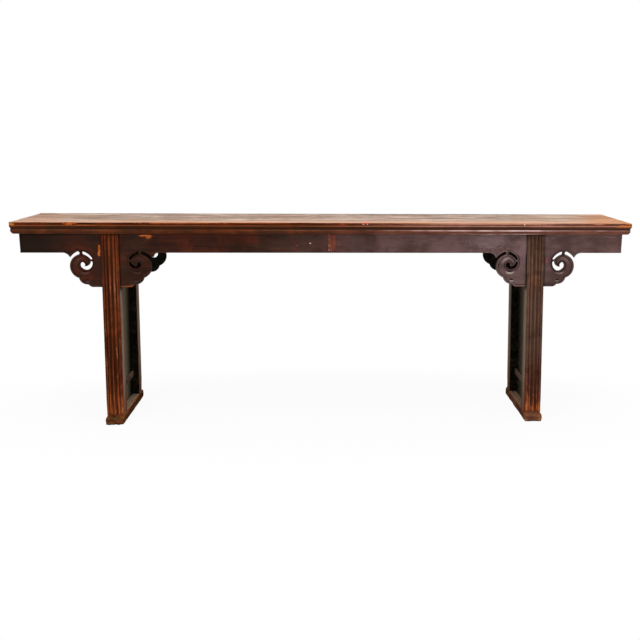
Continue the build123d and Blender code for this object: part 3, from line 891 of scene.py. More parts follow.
# how the carver's hand strayed from the template, by board and by half (-1 or 1 along X as cut):
# cusp is the cusp's move, deep scales the winding slot's drop, drift moves the whole half
plainHand = {"cusp": (0.0, 0.0), "deep": 1.0, "drift": (0.0, 0.0), "winding": spiralTemplate}
handOf = {
    "apronFrontLeft": {-1: {"cusp": (-3.4, 2.0), "deep": 0.96},
                       1: {"cusp": (8.0, -0.5), "deep": 0.86}},
    "apronFrontRight": {-1: {"cusp": (1.3, -1.8), "deep": 0.92},
                        1: {"cusp": (-1.4, 0.7), "deep": 1.06}},
    "apronRearLeft": {-1: {"deep": 0.88, "winding": tightTemplate}, 1: {}},
    "apronRearRight": {-1: {"drift": (-3.0, 3.0)}, 1: {"deep": 0.7, "drift": (-5.0, 7.0)}},
}

# the key across the joint of the two apron lengths
keyLook = {"left": 9.0, "right": 43.0, "low": 789.0, "depth": 7.0, "round": 0.9, "proud": 0.3}

apronLook = {
    "ground": 2.6, "bead": 8.5, "beadHeight": 2.45, "rim": 5.6, "rimHeight": 1.9,
    "arris": 0.6, "arcStep": 2.0, "straightStep": 7.0, "endStep": 4.0,
    "grid": 9.0, "fineGrid": 3.6, "fineReach": 212.0, "backGrid": (22.0, 18.0), "nudge": 0.06,
    "beadDepths": (0.35, 0.8, 1.5, 2.4, 3.4, 4.4, 5.4, 6.4),
    "rimDepths": (0.3, 0.7, 1.3, 2.0, 2.8, 3.6, 4.3, 5.0, 5.8),
    "scrollEye": (112.0, -61.0), "swell": 1.9, "swellRadius": 27.0, "swellWidth": 12.0,
    # gouge cuts: centre across and up, radius, half angle, run of the slope, share of the depth
    "gouges": ((112.0, -58.0, 28.0, 44.0, 10.0, 1.0), (104.0, -100.0, 22.0, 26.0, 7.0, 0.5)),
    "gougeDepth": 3.4, "gougeWall": 2.4, "gougeLip": 4.0, "lip": 0.7, "backGrime": 0.85,
    # where the swell comes in and ends, out from the leg and up; the scroll's shoulder, where a
    # highlight is painted, as middle and half width of its radius and of its bearing
    "swellFrom": (60.0, 78.0), "swellTo": (150.0, 170.0), "swellUp": (-112.0, -92.0),
    "shoulder": (40.0, 5.0), "shoulderTurn": (36.0, 26.0), "housing": 4.0,
    "joint": 26.0, "cheek": 38.0, "fit": 0.15,
    # darker towards the left end and low on the right spandrels: from, to, amount
    "leftEnd": (960.0, 1260.0, 0.62), "hanging": (755.0, 790.0, 0.28),
}


def strayed(template, hand):
    # a template as the carver's hand followed it
    start, steps = template
    if template is outlineTemplate:
        moveS, moveV = hand["cusp"]
        (middleS, middleV), (cuspS, cuspV) = steps[0]
        (nextS, nextV), nextEnd = steps[1]
        steps = [((middleS + moveS * 0.6, middleV + moveV * 0.4), (cuspS + moveS, cuspV + moveV)),
                 ((nextS + moveS * 0.5, nextV + moveV * 0.5), nextEnd)] + list(steps[2:])

    def moved(point):
        s, v = point
        if template in (spiralTemplate, tightTemplate):
            v = -38.0 + (v + 38.0) * (hand["deep"] if v < -38.0 else 1.0)
        driftS, driftV = hand["drift"]
        hold = min(max((s - 45.0) / 35.0, 0.0), 1.0) * min(max(-v / 30.0, 0.0), 1.0)
        return (s + driftS * hold, v + driftV * hold)

    return moved(start), [(moved(step[0]), moved(step[1])) if isinstance(step[0], tuple)
                          else moved(step) for step in steps]


def mirroredRun(template, axis, side, look, hand):
    start, steps = strayed(template, hand)
    points = trace(start, steps, look["arcStep"], look["straightStep"])
    return [(axis + side * s, table["apronLow"] + v) for s, v in points]


def carving(points, axis, beadLine, slots, look):
    # height over the sunk ground at each (x, z)
    s = np.abs(points[:, 0] - axis)
    v = points[:, 1] - table["apronLow"]
    toBead = reachTo(points, [beadLine])
    toSlot = reachTo(points, slots)

    def band(gap, width, height):
        across = np.clip(np.abs(2 * gap / width - 1.0), 0.0, 1.0)
        return height * (1.0 - across ** 2.6)

    bead = band(toBead, look["bead"], look["beadHeight"])
    rim = band(toSlot, look["rim"], look["rimHeight"])
    eye = look["scrollEye"]
    out = np.hypot(s - eye[0], v - eye[1])
    swell = look["swell"] * hump(out, look["swellRadius"], look["swellWidth"])
    swell *= smooth(*look["swellFrom"], s) * (1.0 - smooth(*look["swellTo"], s))
    swell *= smooth(*look["swellUp"], v)
    height = np.maximum(bead, rim) + swell * (1.0 - np.maximum(bead / look["beadHeight"],
                                                              rim / look["rimHeight"]) * 0.5)
    # each gouge cut is a long slope down to a steep lower lip
    lips = np.zeros(len(points))
    for centreS, centreV, radius, halfAngle, run, deep in look["gouges"]:
        far = np.hypot(s - centreS, v - centreV)
        bearing = np.degrees(np.arctan2(s - centreS, -(v - centreV)))
        fade = 1.0 - smooth(halfAngle * 0.35, halfAngle, np.abs(bearing))
        slope = np.clip((far - (radius - run)) / run, 0.0, 1.0)
        slope = slope * (1.0 - smooth(radius, radius + look["gougeWall"], far))
        height -= look["gougeDepth"] * deep * fade * slope
        wide = look["gougeLip"]
        lips = np.maximum(lips, fade * hump(far - radius, wide, wide * deep ** 0.5))
    # where a highlight is painted: the gouge lips and the scroll's upper shoulder
    bearing = np.degrees(np.arctan2(s - eye[0], v - eye[1]))
    shoulder = hump(out, *look["shoulder"]) * hump(bearing, *look["shoulderTurn"])
    return height, toBead, toSlot, np.maximum(lips, 0.5 * shoulder)


def boardEdges(span, side, axis, hands, look):
    # closed outline, the beaded run of it, and the four slots
    low, top = table["apronLow"], table["stripLow"]
    (x0, x1), arcStep, step = span, look["arcStep"], look["straightStep"]
    leftRun = mirroredRun(outlineTemplate, axis, -1, look, hands[-1])
    rightRun = mirroredRun(outlineTemplate, axis, 1, look, hands[1])[::-1]
    lower = trace((x0, low), [leftRun[0]], arcStep, step) + leftRun[1:]
    lower += rightRun[1:] + trace(rightRun[-1], [(x1, low)], arcStep, step)[1:]
    rise = trace((x1, low), [(x1, top)], arcStep, look["endStep"])[1:]
    head = trace((x1, top), [(x0, top)], arcStep, step)[1:]
    fall = trace((x0, top), [(x0, low)], arcStep, look["endStep"])[1:-1]
    beadLine = lower + rise if side > 0 else [(x0, top)] + fall + lower
    slots = [mirroredRun(template, axis, way, look, hands[way]) for way in (-1, 1)
             for template in (archTemplate, hands[way]["winding"])]
    return lower + rise + head + fall, beadLine, slots


def boardPoints(span, loop, beadLine, slots, axis, look):
    # points of the carved face, closer together along the bead, the slots and the scrolls
    low, top = table["apronLow"], table["stripLow"]
    rings = [offsets(beadLine, look["beadDepths"], False, 1)]
    for slot in slots:
        area = sum(a[0] * b[1] - b[0] * a[1] for a, b in zip(slot, slot[1:]))
        rings.append(offsets(slot, look["rimDepths"], True, -1 if area > 0 else 1))
    fine = (axis - look["fineReach"], axis + look["fineReach"])
    fields = []
    for (lowX, highX), lowZ, highZ, spacing, clear in (
            (span, low, top, look["grid"], 10.5),
            (fine, table["slotLow"], low + 20.0, look["fineGrid"], 7.0)):
        xs = np.arange(lowX + spacing / 2, highX, spacing)
        for row, z in enumerate(np.arange(lowZ + spacing / 2, highZ, spacing * 0.866)):
            shift = spacing / 2 if row % 2 else 0.0
            fields += [(x + shift, z, clear) for x in xs]
    points = np.vstack(rings + [np.array(fields)])
    points = points[inBoard(points[:, :2], loop, slots)]
    plan, clear = points[:, :2], points[:, 2]
    keep = reachTo(plan, [loop + [loop[0]]] + slots) > np.minimum(clear * 0.96, 7.0) - 0.02
    carved = (reachTo(plan, [beadLine]) < 10.0) | (reachTo(plan, slots) < 6.2)
    return plan[keep & ~((clear >= 7.0) & carved)]


def stepLines(side, stands, joint, keyEdge, look):
    # doubled lines that keep the housing of the leg's cheek and the key's recess sharp
    low, top = table["slotLow"], table["stripLow"]
    half, floor = look["cheek"] + look["fit"], keyLook["low"] - look["fit"]
    nudges = (-look["nudge"], look["nudge"])
    lines = []
    for way in (-1, 1):
        for nudge in nudges:
            foot, head = (side * legX(z, stands) + way * half + nudge for z in (low, top))
            lines.append([(foot + (head - foot) * k / 40.0, low + (top - low) * k / 40.0)
                          for k in range(41)])
    for nudge in nudges:
        edge = keyEdge + nudge * side
        lines.append([(joint, floor + nudge), (edge, floor + nudge)]
                     + [(edge, keyLook["low"] + (top - keyLook["low"]) * k / 12.0)
                        for k in range(1, 13)])
    return lines


def apronBoard(name, side, replaced, turnBack):
    # front board on one side, or turned about the middle for the rear
    look = apronLook
    top, fit = table["stripLow"], look["fit"]
    stands = -side if turnBack else side
    axis = side * legX((table["slotLow"] + top) / 2, stands)
    joint = look["joint"] + side * fit
    keyEdge = keyLook["left"] - fit if side < 0 else keyLook["right"] + fit
    span = sorted((side * table["apronX"], joint))
    hands = {way: {**plainHand, **stray} for way, stray in handOf[name].items()}
    loop, beadLine, slots = boardEdges(span, side, axis, hands, look)
    edges = [loop + [loop[0]]] + slots
    lines = stepLines(side, stands, joint, keyEdge, look)
    points = boardPoints(span, loop, beadLine, slots, axis, look)
    points = points[reachTo(points, lines) > 0.5]
    cells = {}
    for point in points:
        cells.setdefault((round(point[0] / 0.45), round(point[1] / 0.45)), tuple(point))
    coords, links = [], []
    for line, closed in ([(loop, 1)] + [(slot[:-1], 1) for slot in slots]
                         + [(line, 0) for line in lines]):
        first, count = len(coords), len(line)
        coords += line
        links += [(first + k, first + (k + 1) % count) for k in range(count - 1 + closed)]
    coords += list(cells.values())
    flat, tris, _ = filled(coords, links, loop, slots, 1e-4, 1)
    used, order = np.unique(tris, return_inverse=True)
    flat, tris = flat[used], order.reshape(-1, 3)

    # depth of the carved face behind the apron's front plane
    height, toBead, toSlot, lips = carving(flat, axis, beadLine, slots, look)
    toEdge = reachTo(flat, edges)
    flatPlace = np.c_[flat, flat[:, :1] * 0]
    drop = look["ground"] - height + look["arris"] * (1.0 - smooth(0.0, 0.8, toEdge))
    drop += 0.18 * (waver(flatPlace, (0.012, 0.05, 0.0), 31 + side) + 0.5)
    half = look["cheek"] + fit
    fromLeg = np.abs(flat[:, 0] - side * legX(flat[:, 1], stands))
    drop[fromLeg < half] = look["housing"] + fit
    inKey = (flat[:, 1] > keyLook["low"] - fit) & ((flat[:, 0] - keyEdge) * side < 0)
    drop[inKey] = keyLook["depth"] + fit
    frontY = np.maximum(drop, 0.02) - table["apronY"]

    # back face: the same borders with a coarse field
    seen = dict.fromkeys((int(tri[k]), int(tri[(k + 1) % 3])) for tri in tris for k in range(3))
    border = [edge for edge in seen if edge[::-1] not in seen]
    rim = sorted({k for edge in border for k in edge})
    rimIndex = {k: i for i, k in enumerate(rim)}
    rimFlat = flat[rim]
    gapX, gapZ = look["backGrid"]
    coarse = np.array([(x, z) for z in np.arange(table["slotLow"] + 10.0, top, gapZ)
                       for x in np.arange(span[0] + 9.0, span[1], gapX)])
    coarse = coarse[inBoard(coarse, loop, slots)]
    coarse = coarse[reachTo(coarse, edges) > 5.0]
    backFlat, backTris, origin = filled([*rimFlat, *coarse],
                                        [(rimIndex[p], rimIndex[q]) for p, q in border],
                                        loop, slots, 1e-5, -1)
    backOf = {source: index for index, sources in enumerate(origin) for source in sources}
    limit = table["apronX"] - table["apronThick"]
    backX = np.clip(backFlat[:, 0], -limit, limit)
    backY = np.full(len(backX), table["apronThick"] - table["apronY"])

    # a ring just behind the front edge carries painted shade, which keeps the cut walls black to
    # the arris, and keeps to the mitre's slope at the outer end
    verts = np.vstack([np.c_[flat[:, 0], frontY, flat[:, 1]],
                       np.c_[rimFlat[:, 0], frontY[rim] + look["lip"], rimFlat[:, 1]],
                       np.c_[backX, backY, backFlat[:, 1]]])
    lipBase = len(flat)
    base = lipBase + len(rim)
    outerEnd = np.abs(np.abs(rimFlat[:, 0]) - table["apronX"]) < 0.01
    verts[lipBase:base, 0] -= side * look["lip"] * outerEnd
    faces = [tuple(tri) for tri in tris] + [tuple(base + k for k in tri) for tri in backTris]
    for p, q in border:
        i, j = rimIndex[p], rimIndex[q]
        faces.append((q, p, lipBase + i, lipBase + j))
        faces.append((lipBase + j, lipBase + i, base + backOf[i], base + backOf[j]))

    # worn and rubbed places: crests, arrises and the lips of the gouge cuts, with painted
    # highlights on the rims, the gouge lips and the scroll's shoulder
    rub = np.clip(waver(flatPlace, (0.02, 0.03, 0.0), 35 + side) + 0.55, 0.0, 1.1)
    scroll = 1.0 - smooth(205.0, 260.0, np.abs(flat[:, 0] - axis))
    polish = np.maximum(hump(toBead, look["bead"] / 2, 2.6) * (0.3 + 0.3 * scroll),
                        hump(toSlot, look["rim"] / 2, 1.9) * 0.35) * (0.55 + 0.6 * rub)
    lit = 1.0 if (side > 0 and not turnBack) else 0.08
    shine = lips * lit * np.where(flat[:, 0] < axis, 0.85, 0.35)
    crest = np.clip(height / look["beadHeight"], 0.0, 1.0)
    wear = 0.3 * (1.0 - smooth(0.0, 2.5, toEdge)) + crest * (0.16 + 0.14 * rub)
    # darker at the feet of the beads and rims and in the gouge cuts, as dirt and painted shade
    foot = np.maximum(hump(toBead, look["bead"] + 0.8, 2.2),
                      hump(toSlot, look["rim"] + 0.6, 2.0) * 0.9)
    foot = np.maximum(foot, np.clip(-height / 1.2, 0, 1))
    # painted shade under the moulding and beside the leg
    tucked = 0.5 * smooth(top - 8.0, top - 1.0, flat[:, 1])
    nearLeg = 1.0 - smooth(half, half + 9.0, fromLeg)
    start, end, share = look["leftEnd"]
    leftEnd = share * smooth(start, end, -flat[:, 0])
    start, end, share = look["hanging"]
    hanging = share * (1.0 - smooth(start, end, flat[:, 1])) * (side > 0)
    grime = np.clip(foot * 0.75 + tucked * 0.8 + nearLeg * 0.6 + leftEnd + hanging, 0, 1)
    bare, full, back = np.zeros(len(rim)), np.ones(len(rim)), np.zeros(len(backX))
    # the back face and the ring behind the front edge get painted shade
    marks = {
        "wear": np.r_[wear, bare, back], "rub": np.r_[polish, bare, back],
        "grime": np.r_[grime, full, back + look["backGrime"]],
        "shine": np.r_[shine, bare, back],
        "soot": np.r_[grime * 0.0, full, back + (0.9 if turnBack else 0.6)],
    }
    if turnBack:
        verts[:, :2] *= -1.0
    blank(name, verts, faces, apronFinish, marks, replaced, 42.0)


apronBoard("apronFrontLeft", -1, "apron_front_left", False)
apronBoard("apronFrontRight", 1, "apron_front_right", False)
apronBoard("apronRearLeft", 1, "apron_rear_left", True)
apronBoard("apronRearRight", -1, "apron_rear_right", True)
print("aprons carved")


def apronKey(name, replaced, turnBack):
    look = keyLook
    profile = roundOver(look["round"], 0.0, -look["depth"], 0.3, 3, 2)
    verts, faces = slab(((look["left"], look["right"]), (look["low"], table["stripLow"])),
                        {"edge": profile}, ("edge",) * 4, (8, 18))
    dip = 0.25 * (waver(verts, (0.05, 0.02, 0.0), 41) + 0.5)
    x, z, out = verts.T
    verts = np.c_[x, -table["apronY"] + look["proud"] + dip - out, z]
    polish = hump(x, look["left"] + 5.0, 4.0) * (0.5 + waver(verts, (0.05, 0.05, 0.06), 43))
    sideGap = np.minimum(x - look["left"], look["right"] - x)
    # painted shade at the top, under the moulding
    marks = {"wear": 0.3 * (1.0 - smooth(0.0, 3.0, sideGap)),
             "grime": smooth(852.0, 863.0, z) * 0.6, "rub": polish}
    if turnBack:
        verts[:, :2] *= -1.0
    blank(name, verts, faces, keyFinish, marks, replaced)


apronKey("keyFront", "apron_front_key", False)
apronKey("keyRear", "apron_rear_key", True)


# end aprons

endLook = {
    "bead": 8.5, "ground": 1.8, "rows": 26, "stations": 70, "mitreGap": 0.12,
    "beadHeight": 1.75, "arris": 0.7, "plainFrom": 14.0, "crest": (4.2, 4.0), "foot": (9.0, 1.6),
    "beadRows": (0, 0.4, 0.8, 1.6, 2.6, 3.6, 4.6, 5.6, 6.6, 7.4, 8.0, 8.5, 9.5),
}


def endApron(name, side, replaced):
    # plain board with a bead along its lower edge, mitred to the long aprons
    look = endLook
    low, top, thick = table["apronLow"], table["stripLow"], table["apronThick"]
    outer, run = table["apronX"], table["apronY"]
    plain = look["rows"] - len(look["beadRows"])
    zs = np.r_[low + np.array(look["beadRows"]), np.linspace(low + look["plainFrom"], top, plain)]
    up = zs - low
    across = np.clip(np.abs(2 * up / look["bead"] - 1.0), 0.0, 1.0)
    drop = (look["ground"] - look["beadHeight"] * (1.0 - across ** 2.6)
            + look["arris"] * (1.0 - smooth(0.0, 0.8, up)))
    profile = [(d, z) for d, z in zip(drop, zs)] + [(thick, top), (thick, low)]
    verts, faces = sweep(
        profile, np.linspace(-1.0, 1.0, look["stations"] + 1), lambda share, inset, z: (
            outer - inset, share * (run - look["mitreGap"] - inset), z))
    seen = np.tile(np.arange(len(profile)) < len(profile) - 2, look["stations"] + 1)
    verts[:, 0] -= seen * 0.18 * (waver(verts, (0.0, 0.02, 0.05), 51 + side) + 0.5)
    heights = verts[:, 2] - low
    wear = seen * (hump(heights, *look["crest"]) * 0.35 + 0.2 * (1 - smooth(0, 2, heights)))
    wear += seen * 0.4 * (1.0 - smooth(0.0, 9.0, run - np.abs(verts[:, 1])))
    # painted shade under the moulding and at the bead's foot
    grime = seen * (smooth(66.0, 82.0, heights) * 0.8 + 0.5 * hump(heights, *look["foot"]))
    verts[:, 0] *= side
    if side < 0:
        faces = turned(faces)
    blank(name, verts, faces, endApronFinish,
          {"wear": wear, "grime": grime}, replaced)


endApronFinish = lacquer("endApronLacquer", 1, tuned(body=(58, 32, 22), fade=0.5))
endApron("apronEndRight", 1, "apron_end_right")
endApron("apronEndLeft", -1, "apron_end_left")
print("keys and end aprons fitted")


# legs with reeded faces and a bridle slot for the apron

legLook = {
    "width": 76.0, "depth": 66.0, "reed": 8.6, "reedHeight": 2.9, "pitchInner": 17.5,
    "pitchOuter": 12.0, "hollow": 2.0, "arris": 1.6, "station": 8.0,
    "slotOuter": 175.0, "slotInner": 165.0, "headY": 160.0, "wobble": 0.35,
    "footWear": 5.0, "footHeight": 110.0, "shift": 2.5, "sink": 2.5, "reeded": 35.5,
    # on the inner side the dust and sheen end and painted shade begins between these heights
    "darkFrom": (600.0, 636.0),
    # depths behind the face: of the reeds' tops, of the grooves and of the inner side's dust and
    # painted sheen
    "tops": 2.2, "grooves": (2.6, 6.5), "dustFrom": (3.0, 8.0), "dustTo": (56.0, 64.0),
    "headGrime": (846.0, 864.0), "lowWear": (350.0, 560.0), "dustUp": (60.0, 240.0),
    "kick": 22.0, "kickEnd": (24.0, 16.0),
}

# streaks at the feet of each pair: across from the axis, half width, height reached, amount
footStreaks = {
    -1: [(27, 3, 80, 0.52), (20, 3.5, 160, 0.5), (14, 3, 92, 0.66), (9, 2.5, 72, 0.55),
         (-2, 3.5, 84, 0.72), (3, 3, 120, 0.45), (-20, 4, 118, 0.62), (-32, 3, 136, 0.74),
         (-36, 2.5, 92, 0.7)],
    1: [(-25, 3.2, 142, 1.1), (-30.5, 2.5, 112, 0.68), (-15.7, 2.8, 128, 0.74), (-9, 4, 80, 0.8),
        (-2, 4, 82, 0.82), (3.6, 3, 110, 0.8), (9, 3, 72, 0.66), (14, 3, 70, 0.62),
        (19, 3, 98, 0.68), (24, 3.5, 102, 0.74), (28.5, 3, 94, 0.78), (33, 2.8, 118, 0.8),
        (37, 2, 92, 0.74), (0, 40, 60, 0.6)],
}


def reedFace(look):
    # points across the face from left to right: (u, depth behind the reeds' tops)
    half = look["width"] / 2
    centres = [0, look["pitchInner"], look["pitchInner"] + look["pitchOuter"]]
    centres = [-c for c in reversed(centres[1:])] + centres
    flank = look["reedHeight"]
    points = [(-half, flank + look["arris"]), (-half + 0.5, flank + 0.5),
              (-half + look["arris"], flank)]
    for index, centre in enumerate(centres):
        left, right = centre - look["reed"] / 2, centre + look["reed"] / 2
        if index:
            before = centres[index - 1] + look["reed"] / 2
            points += arc(points[-1], ((before + left) / 2, flank + look["hollow"]),
                          (left, flank), 1.2)
        else:
            points.append((left, flank))
        points += arc((left, flank), (centre, 0.0), (right, flank), 1.0)
    points += [(half - look["arris"], flank), (half - 0.5, flank + 0.5),
               (half, flank + look["arris"])]
    return np.array(points)


def leg(name, side, face, replaced):
    look = legLook
    front = reedFace(look)
    half = look["width"] / 2
    low, slot = table["shoeTop"] - look["sink"], table["slotLow"]
    strip, plank = table["stripLow"], table["plankLow"]
    arris = look["arris"]

    def section(z):
        # the whole outline at one height, as (u, y) with y counted inward from the centre plane
        faceY = legY(z)
        footShare = 1.0 - smooth(low, look["footHeight"], z)
        rows = []
        for u, d in front:
            inReeds = abs(u) < look["reeded"]
            here = u + look["shift"] * smooth(0, 1, 1 - abs(u) / 37.0)
            rubbed = noise.noise(Vector((u * 0.05 + side * 3.1, z * 0.012, face * 5.0)))
            d = d + look["wobble"] * (rubbed + 0.5) * inReeds
            if inReeds and d < 1.6:
                d += footShare * 0.9 * (0.6 + rubbed)
            if not inReeds:
                pull = footShare * look["footWear"] * 0.4 * (0.7 + rubbed)
                here -= math.copysign(pull, u)
                d += pull * 0.8
            rows.append((here, faceY - d))
        back = faceY - look["depth"]
        rear = [(half, back + 5.0), (half, back + arris), (half - 0.5, back + 0.5),
                (half - arris, back), (-half + arris, back), (-half + 0.5, back + 0.5),
                (-half, back + arris), (-half, back + 5.0)]
        return rows, rear

    def lift(points, z):
        axis = side * legX(z, side)
        return [(axis + side * u, -y, z) for u, y in points]

    verts, faces = [], []

    def addRing(points):
        first = len(verts)
        verts.extend(points)
        return list(range(first, first + len(points)))

    def bridge(lower, points):
        upper = addRing(points)
        for k in range(len(lower)):
            n = (k + 1) % len(lower)
            faces.append((lower[k], lower[n], upper[n], upper[k]))
        return upper

    def levels(start, end):
        return np.linspace(start, end, int((end - start) / look["station"]) + 1)

    def fullRing(z):
        rows, rear = section(z)
        slotPair = [(half, look["slotOuter"]), (half, look["slotInner"])]
        slotBack = [(-half, look["slotInner"]), (-half, look["slotOuter"])]
        return lift(rows + slotPair + rear + slotBack, z)

    ring = addRing(fullRing(low))
    faces.append(tuple(reversed(ring)))
    for z in levels(low, slot)[1:]:
        ring = bridge(ring, fullRing(z))
    count = len(front)
    cheek = ring[:count + 1] + [ring[-1]]
    rear = ring[count + 1:-1]
    faces.append((ring[count], ring[count + 1], ring[-2], ring[-1]))
    # front cheek up to the moulding, rear cheek up to the plank
    for z in levels(slot, strip)[1:]:
        points = section(z)[0] + [(half, look["slotOuter"]), (-half, look["slotOuter"])]
        cheek = bridge(cheek, lift(points, z))
    faces.append(tuple(cheek))
    for z in levels(slot, plank)[1:]:
        inner = look["slotInner"] if z <= strip else look["headY"]
        rear = bridge(rear, lift([(half, inner)] + section(z)[1] + [(-half, inner)], z))
    faces.append(tuple(rear))
    verts = np.array(verts)
    x, y, z = verts.T
    depth = legY(z) + y
    offset = side * x - legX(z, side)
    across = np.abs(offset)
    crest = (depth < look["tops"]) & (across < look["reeded"])
    rub = waver(verts, (0.02, 0.02, 0.006), 61 + 3 * side + face)
    flatPlace = np.c_[offset, y * 0, z]
    broken = waver(flatPlace, (0.1, 0.0, 0.035), 63 + face)
    broken += 0.6 * waver(flatPlace, (0.22, 0.0, 0.09), 67)
    # light streaks where the foot has been kicked
    kicked = z + look["kick"] * broken
    below, above = look["kickEnd"]
    streaks = np.zeros(len(verts))
    for at, width, high, amount in footStreaks[side]:
        reach = 1.0 - smooth(high - below, high + above, kicked)
        streaks = np.maximum(streaks, amount * hump(offset, at, width) * reach)
    wear = crest * (0.2 + 0.34 * np.clip(rub + 0.3, 0, 1)) * (0.7 if side > 0 else 1.0)
    wear += crest * 0.3 * np.clip(broken, -0.6, 0.6)
    wear += (across > 36.0) * (depth < 6.0) * (0.25 if side < 0 else 0.08)
    wear = np.maximum(wear, streaks * (depth < 12.0) * (1.0 + 0.5 * broken))
    wear += crest * 0.12 * (1.0 - smooth(*look["lowWear"], z))
    # darker grooves between the reeds as dirt and painted shade, and painted shade on the head
    # under the moulding
    shallow, deep = look["grooves"]
    grooved = (depth > shallow) & (depth < deep) & (across < 35.0)
    grime = grooved * (0.55 if side > 0 else 0.75)
    grime *= 1.0 - np.clip(streaks * 1.4, 0.0, 1.0)
    grime = np.maximum(grime, smooth(*look["headGrime"], z) * 0.8 * (depth < 8.0))
    # dust and painted sheen on the inner side, painted shade behind and up between the spandrels
    inner = (across > 37.0) * smooth(*look["dustFrom"], depth) * (offset < 0)
    inner = inner * (1.0 - smooth(*look["dustTo"], depth))
    dark = smooth(*look["darkFrom"], z)
    chalk = inner * (0.9 if face < 0 else 0.8) * (1.0 - dark)
    chalk *= 0.4 + 0.6 * smooth(*look["dustUp"], z)
    soot = np.maximum((depth > 62.0) * 1.0, inner * dark)
    if side < 0:
        faces = turned(faces)
    if face > 0:
        verts[:, 1] *= -1.0
        faces = turned(faces)
    blank(name, verts, faces, legFinish,
          {"wear": wear, "grime": grime, "chalk": chalk, "soot": soot,
           "rub": crest * 0.5 * (rub + 0.6)}, replaced, 50.0)


for side, hand in ((-1, "Left"), (1, "Right")):
    leg("legFront" + hand, side, -1, "leg_front_" + hand.lower())
    leg("legRear" + hand, side, 1, "leg_rear_" + hand.lower())
print("legs stood up")


# shoes under each pair of legs

shoeLook = {
    "half": 42.0, "halfLength": 210.5, "crest": 20.0, "roundIn": 8.5, "roundDown": 15.0,
    "under": 8.0, "steps": (16, 76), "rub": 2.6, "corner": 7.0, "endIn": 15.0, "endDown": 21.0,
    "edge": 12.0, "frontCorner": 4.0,
    # under the front ends: middle, half width, end of the slope up, depth
    "bite": (2.0, 9.0, (6.0, 13.0), 4.0), "dent": (4.0, 15.0, (2.0, 9.0), 0.8),
}


def shoe(name, side, replaced):
    look = shoeLook
    top, crest, half, halfLength = (table["shoeTop"], look["crest"], look["half"],
                                    look["halfLength"])

    def profile(roundIn, roundDown):
        points = []
        for k in range(8):
            t = math.pi / 2 * k / 7
            points.append((0.4 + roundIn * (1 - math.sin(t)), top - roundDown * (1 - math.cos(t))))
        for k in range(1, 9):
            t = math.pi / 2 * k / 8
            points.append((look["under"] * (1 - math.cos(t)) ** 1.2, crest * (1 - math.sin(t))))
        points[8] = (0.0, crest * 0.97)
        return points

    profiles = {"edge": profile(look["roundIn"], look["roundDown"]),
                "end": profile(look["endIn"], look["endDown"])}
    outer, inner = (("end", "edge") if side < 0 else ("edge", "end"))
    centre = side * legX(top / 2, side)
    verts, faces = slab(((centre - half, centre + half), (-halfLength, halfLength)),
                        profiles, (outer, inner, "end", "end"), look["steps"])
    rub = waver(verts, (0.03, 0.02, 0.05), 71 + side) + 0.5 * waver(verts, (0.09, 0.07, 0.1), 75)
    verts[:, 0] -= centre
    x, y, z = verts.T
    gapX, gapY = half - np.abs(x), halfLength - np.abs(y)
    edge = 1.0 - smooth(0.0, look["edge"], np.minimum(gapX, gapY))
    pull = look["rub"] * edge * np.clip(rub + 0.35, 0.0, 1.2)
    x -= np.sign(x) * pull * (gapX < look["edge"])
    y -= np.sign(y) * pull * (gapY < look["edge"])
    for endY in (-1, 1):
        for endX in (-1, 1):
            softCorner(verts, (endX * half, endY * halfLength),
                       look["corner"] + look["frontCorner"] * (endY < 0))
    front = y < 0
    middle, width, slope, deep = look["bite" if side < 0 else "dent"]
    away = np.exp(-((x - middle) / width) ** 4) * (1.0 - smooth(*slope, z))
    if side < 0:
        # a piece has split away under the front end
        y += away * deep * (gapY < 14.0) * front
        lift = 0.5 + 0.5 * np.sin(x * 0.33) + 3.5 * smooth(14.0, 42.0, x)
        z += lift * (1.0 - smooth(0.0, 9.0, z)) * (gapY < 22.0) * front
    else:
        # a shallow dent along the foot of the front end
        z += away * deep * (gapY < 16.0) * front
    wear = edge * 0.16 + 0.22 * edge * hump(z, 31.0, 5.0)
    wear += np.clip(rub, 0, 1) * 0.3 + 0.15 * (1.0 - smooth(0.0, 40.0, gapY))
    wear += 0.2 * edge * (side > 0) * smooth(10.0, 40.0, x) * front
    wear += 0.5 * edge * smooth(24.0, 40.0, -side * x) * smooth(30.0, 38.0, z)
    # dark blotches as dirt, and painted shade along the foot
    grime = np.clip(-rub, 0, 1) * 0.7 + (1.0 - smooth(0.0, 5.0, z)) * 0.5
    x += centre
    blank(name, verts, faces, shoeFinish, {"wear": wear, "grime": grime},
          replaced)


shoe("shoeLeft", -1, "shoe_left")
shoe("shoeRight", 1, "shoe_right")


# low stretchers, and the finish of the pieces that keep their own shape

stretcherLook = {"low": 134.0, "height": 28.0, "width": 28.0, "arris": 2.4, "steps": (6, 46)}


def stretcher(name, side, replaced):
    look = stretcherLook
    low, half = look["low"], look["width"] / 2
    high, middle = low + look["height"], low + look["height"] / 2
    reach = legY(middle) - legLook["depth"] + 0.4
    profiles = {"edge": roundOver(look["arris"], high, low, 1.2, 4, 2),
                "end": roundOver(0.2, high, low, 0.2, 4, 2)}
    centre = side * legX(middle, side)
    verts, faces = slab(((centre - half, centre + half), (-reach, reach)), profiles,
                        ("edge", "edge", "end", "end"), look["steps"])
    x, y, z = verts.T
    top = smooth(high - 6.0, high, z)
    z -= top * 1.4 * np.clip(waver(verts, (0.03, 0.012, 0.0), 81 + side) + 0.6, 0.0, 1.0)
    edge = 1.0 - smooth(0.0, 4.0, half - np.abs(x - centre))
    # painted shade below the top face
    blank(name, verts, faces, stretcherFinish,
          {"wear": top * (0.25 + edge * 0.4), "grime": (1 - top) * 0.3}, replaced)


stretcher("stretcherLeft", -1, "lower_stretcher_left")
stretcher("stretcherRight", 1, "lower_stretcher_right")

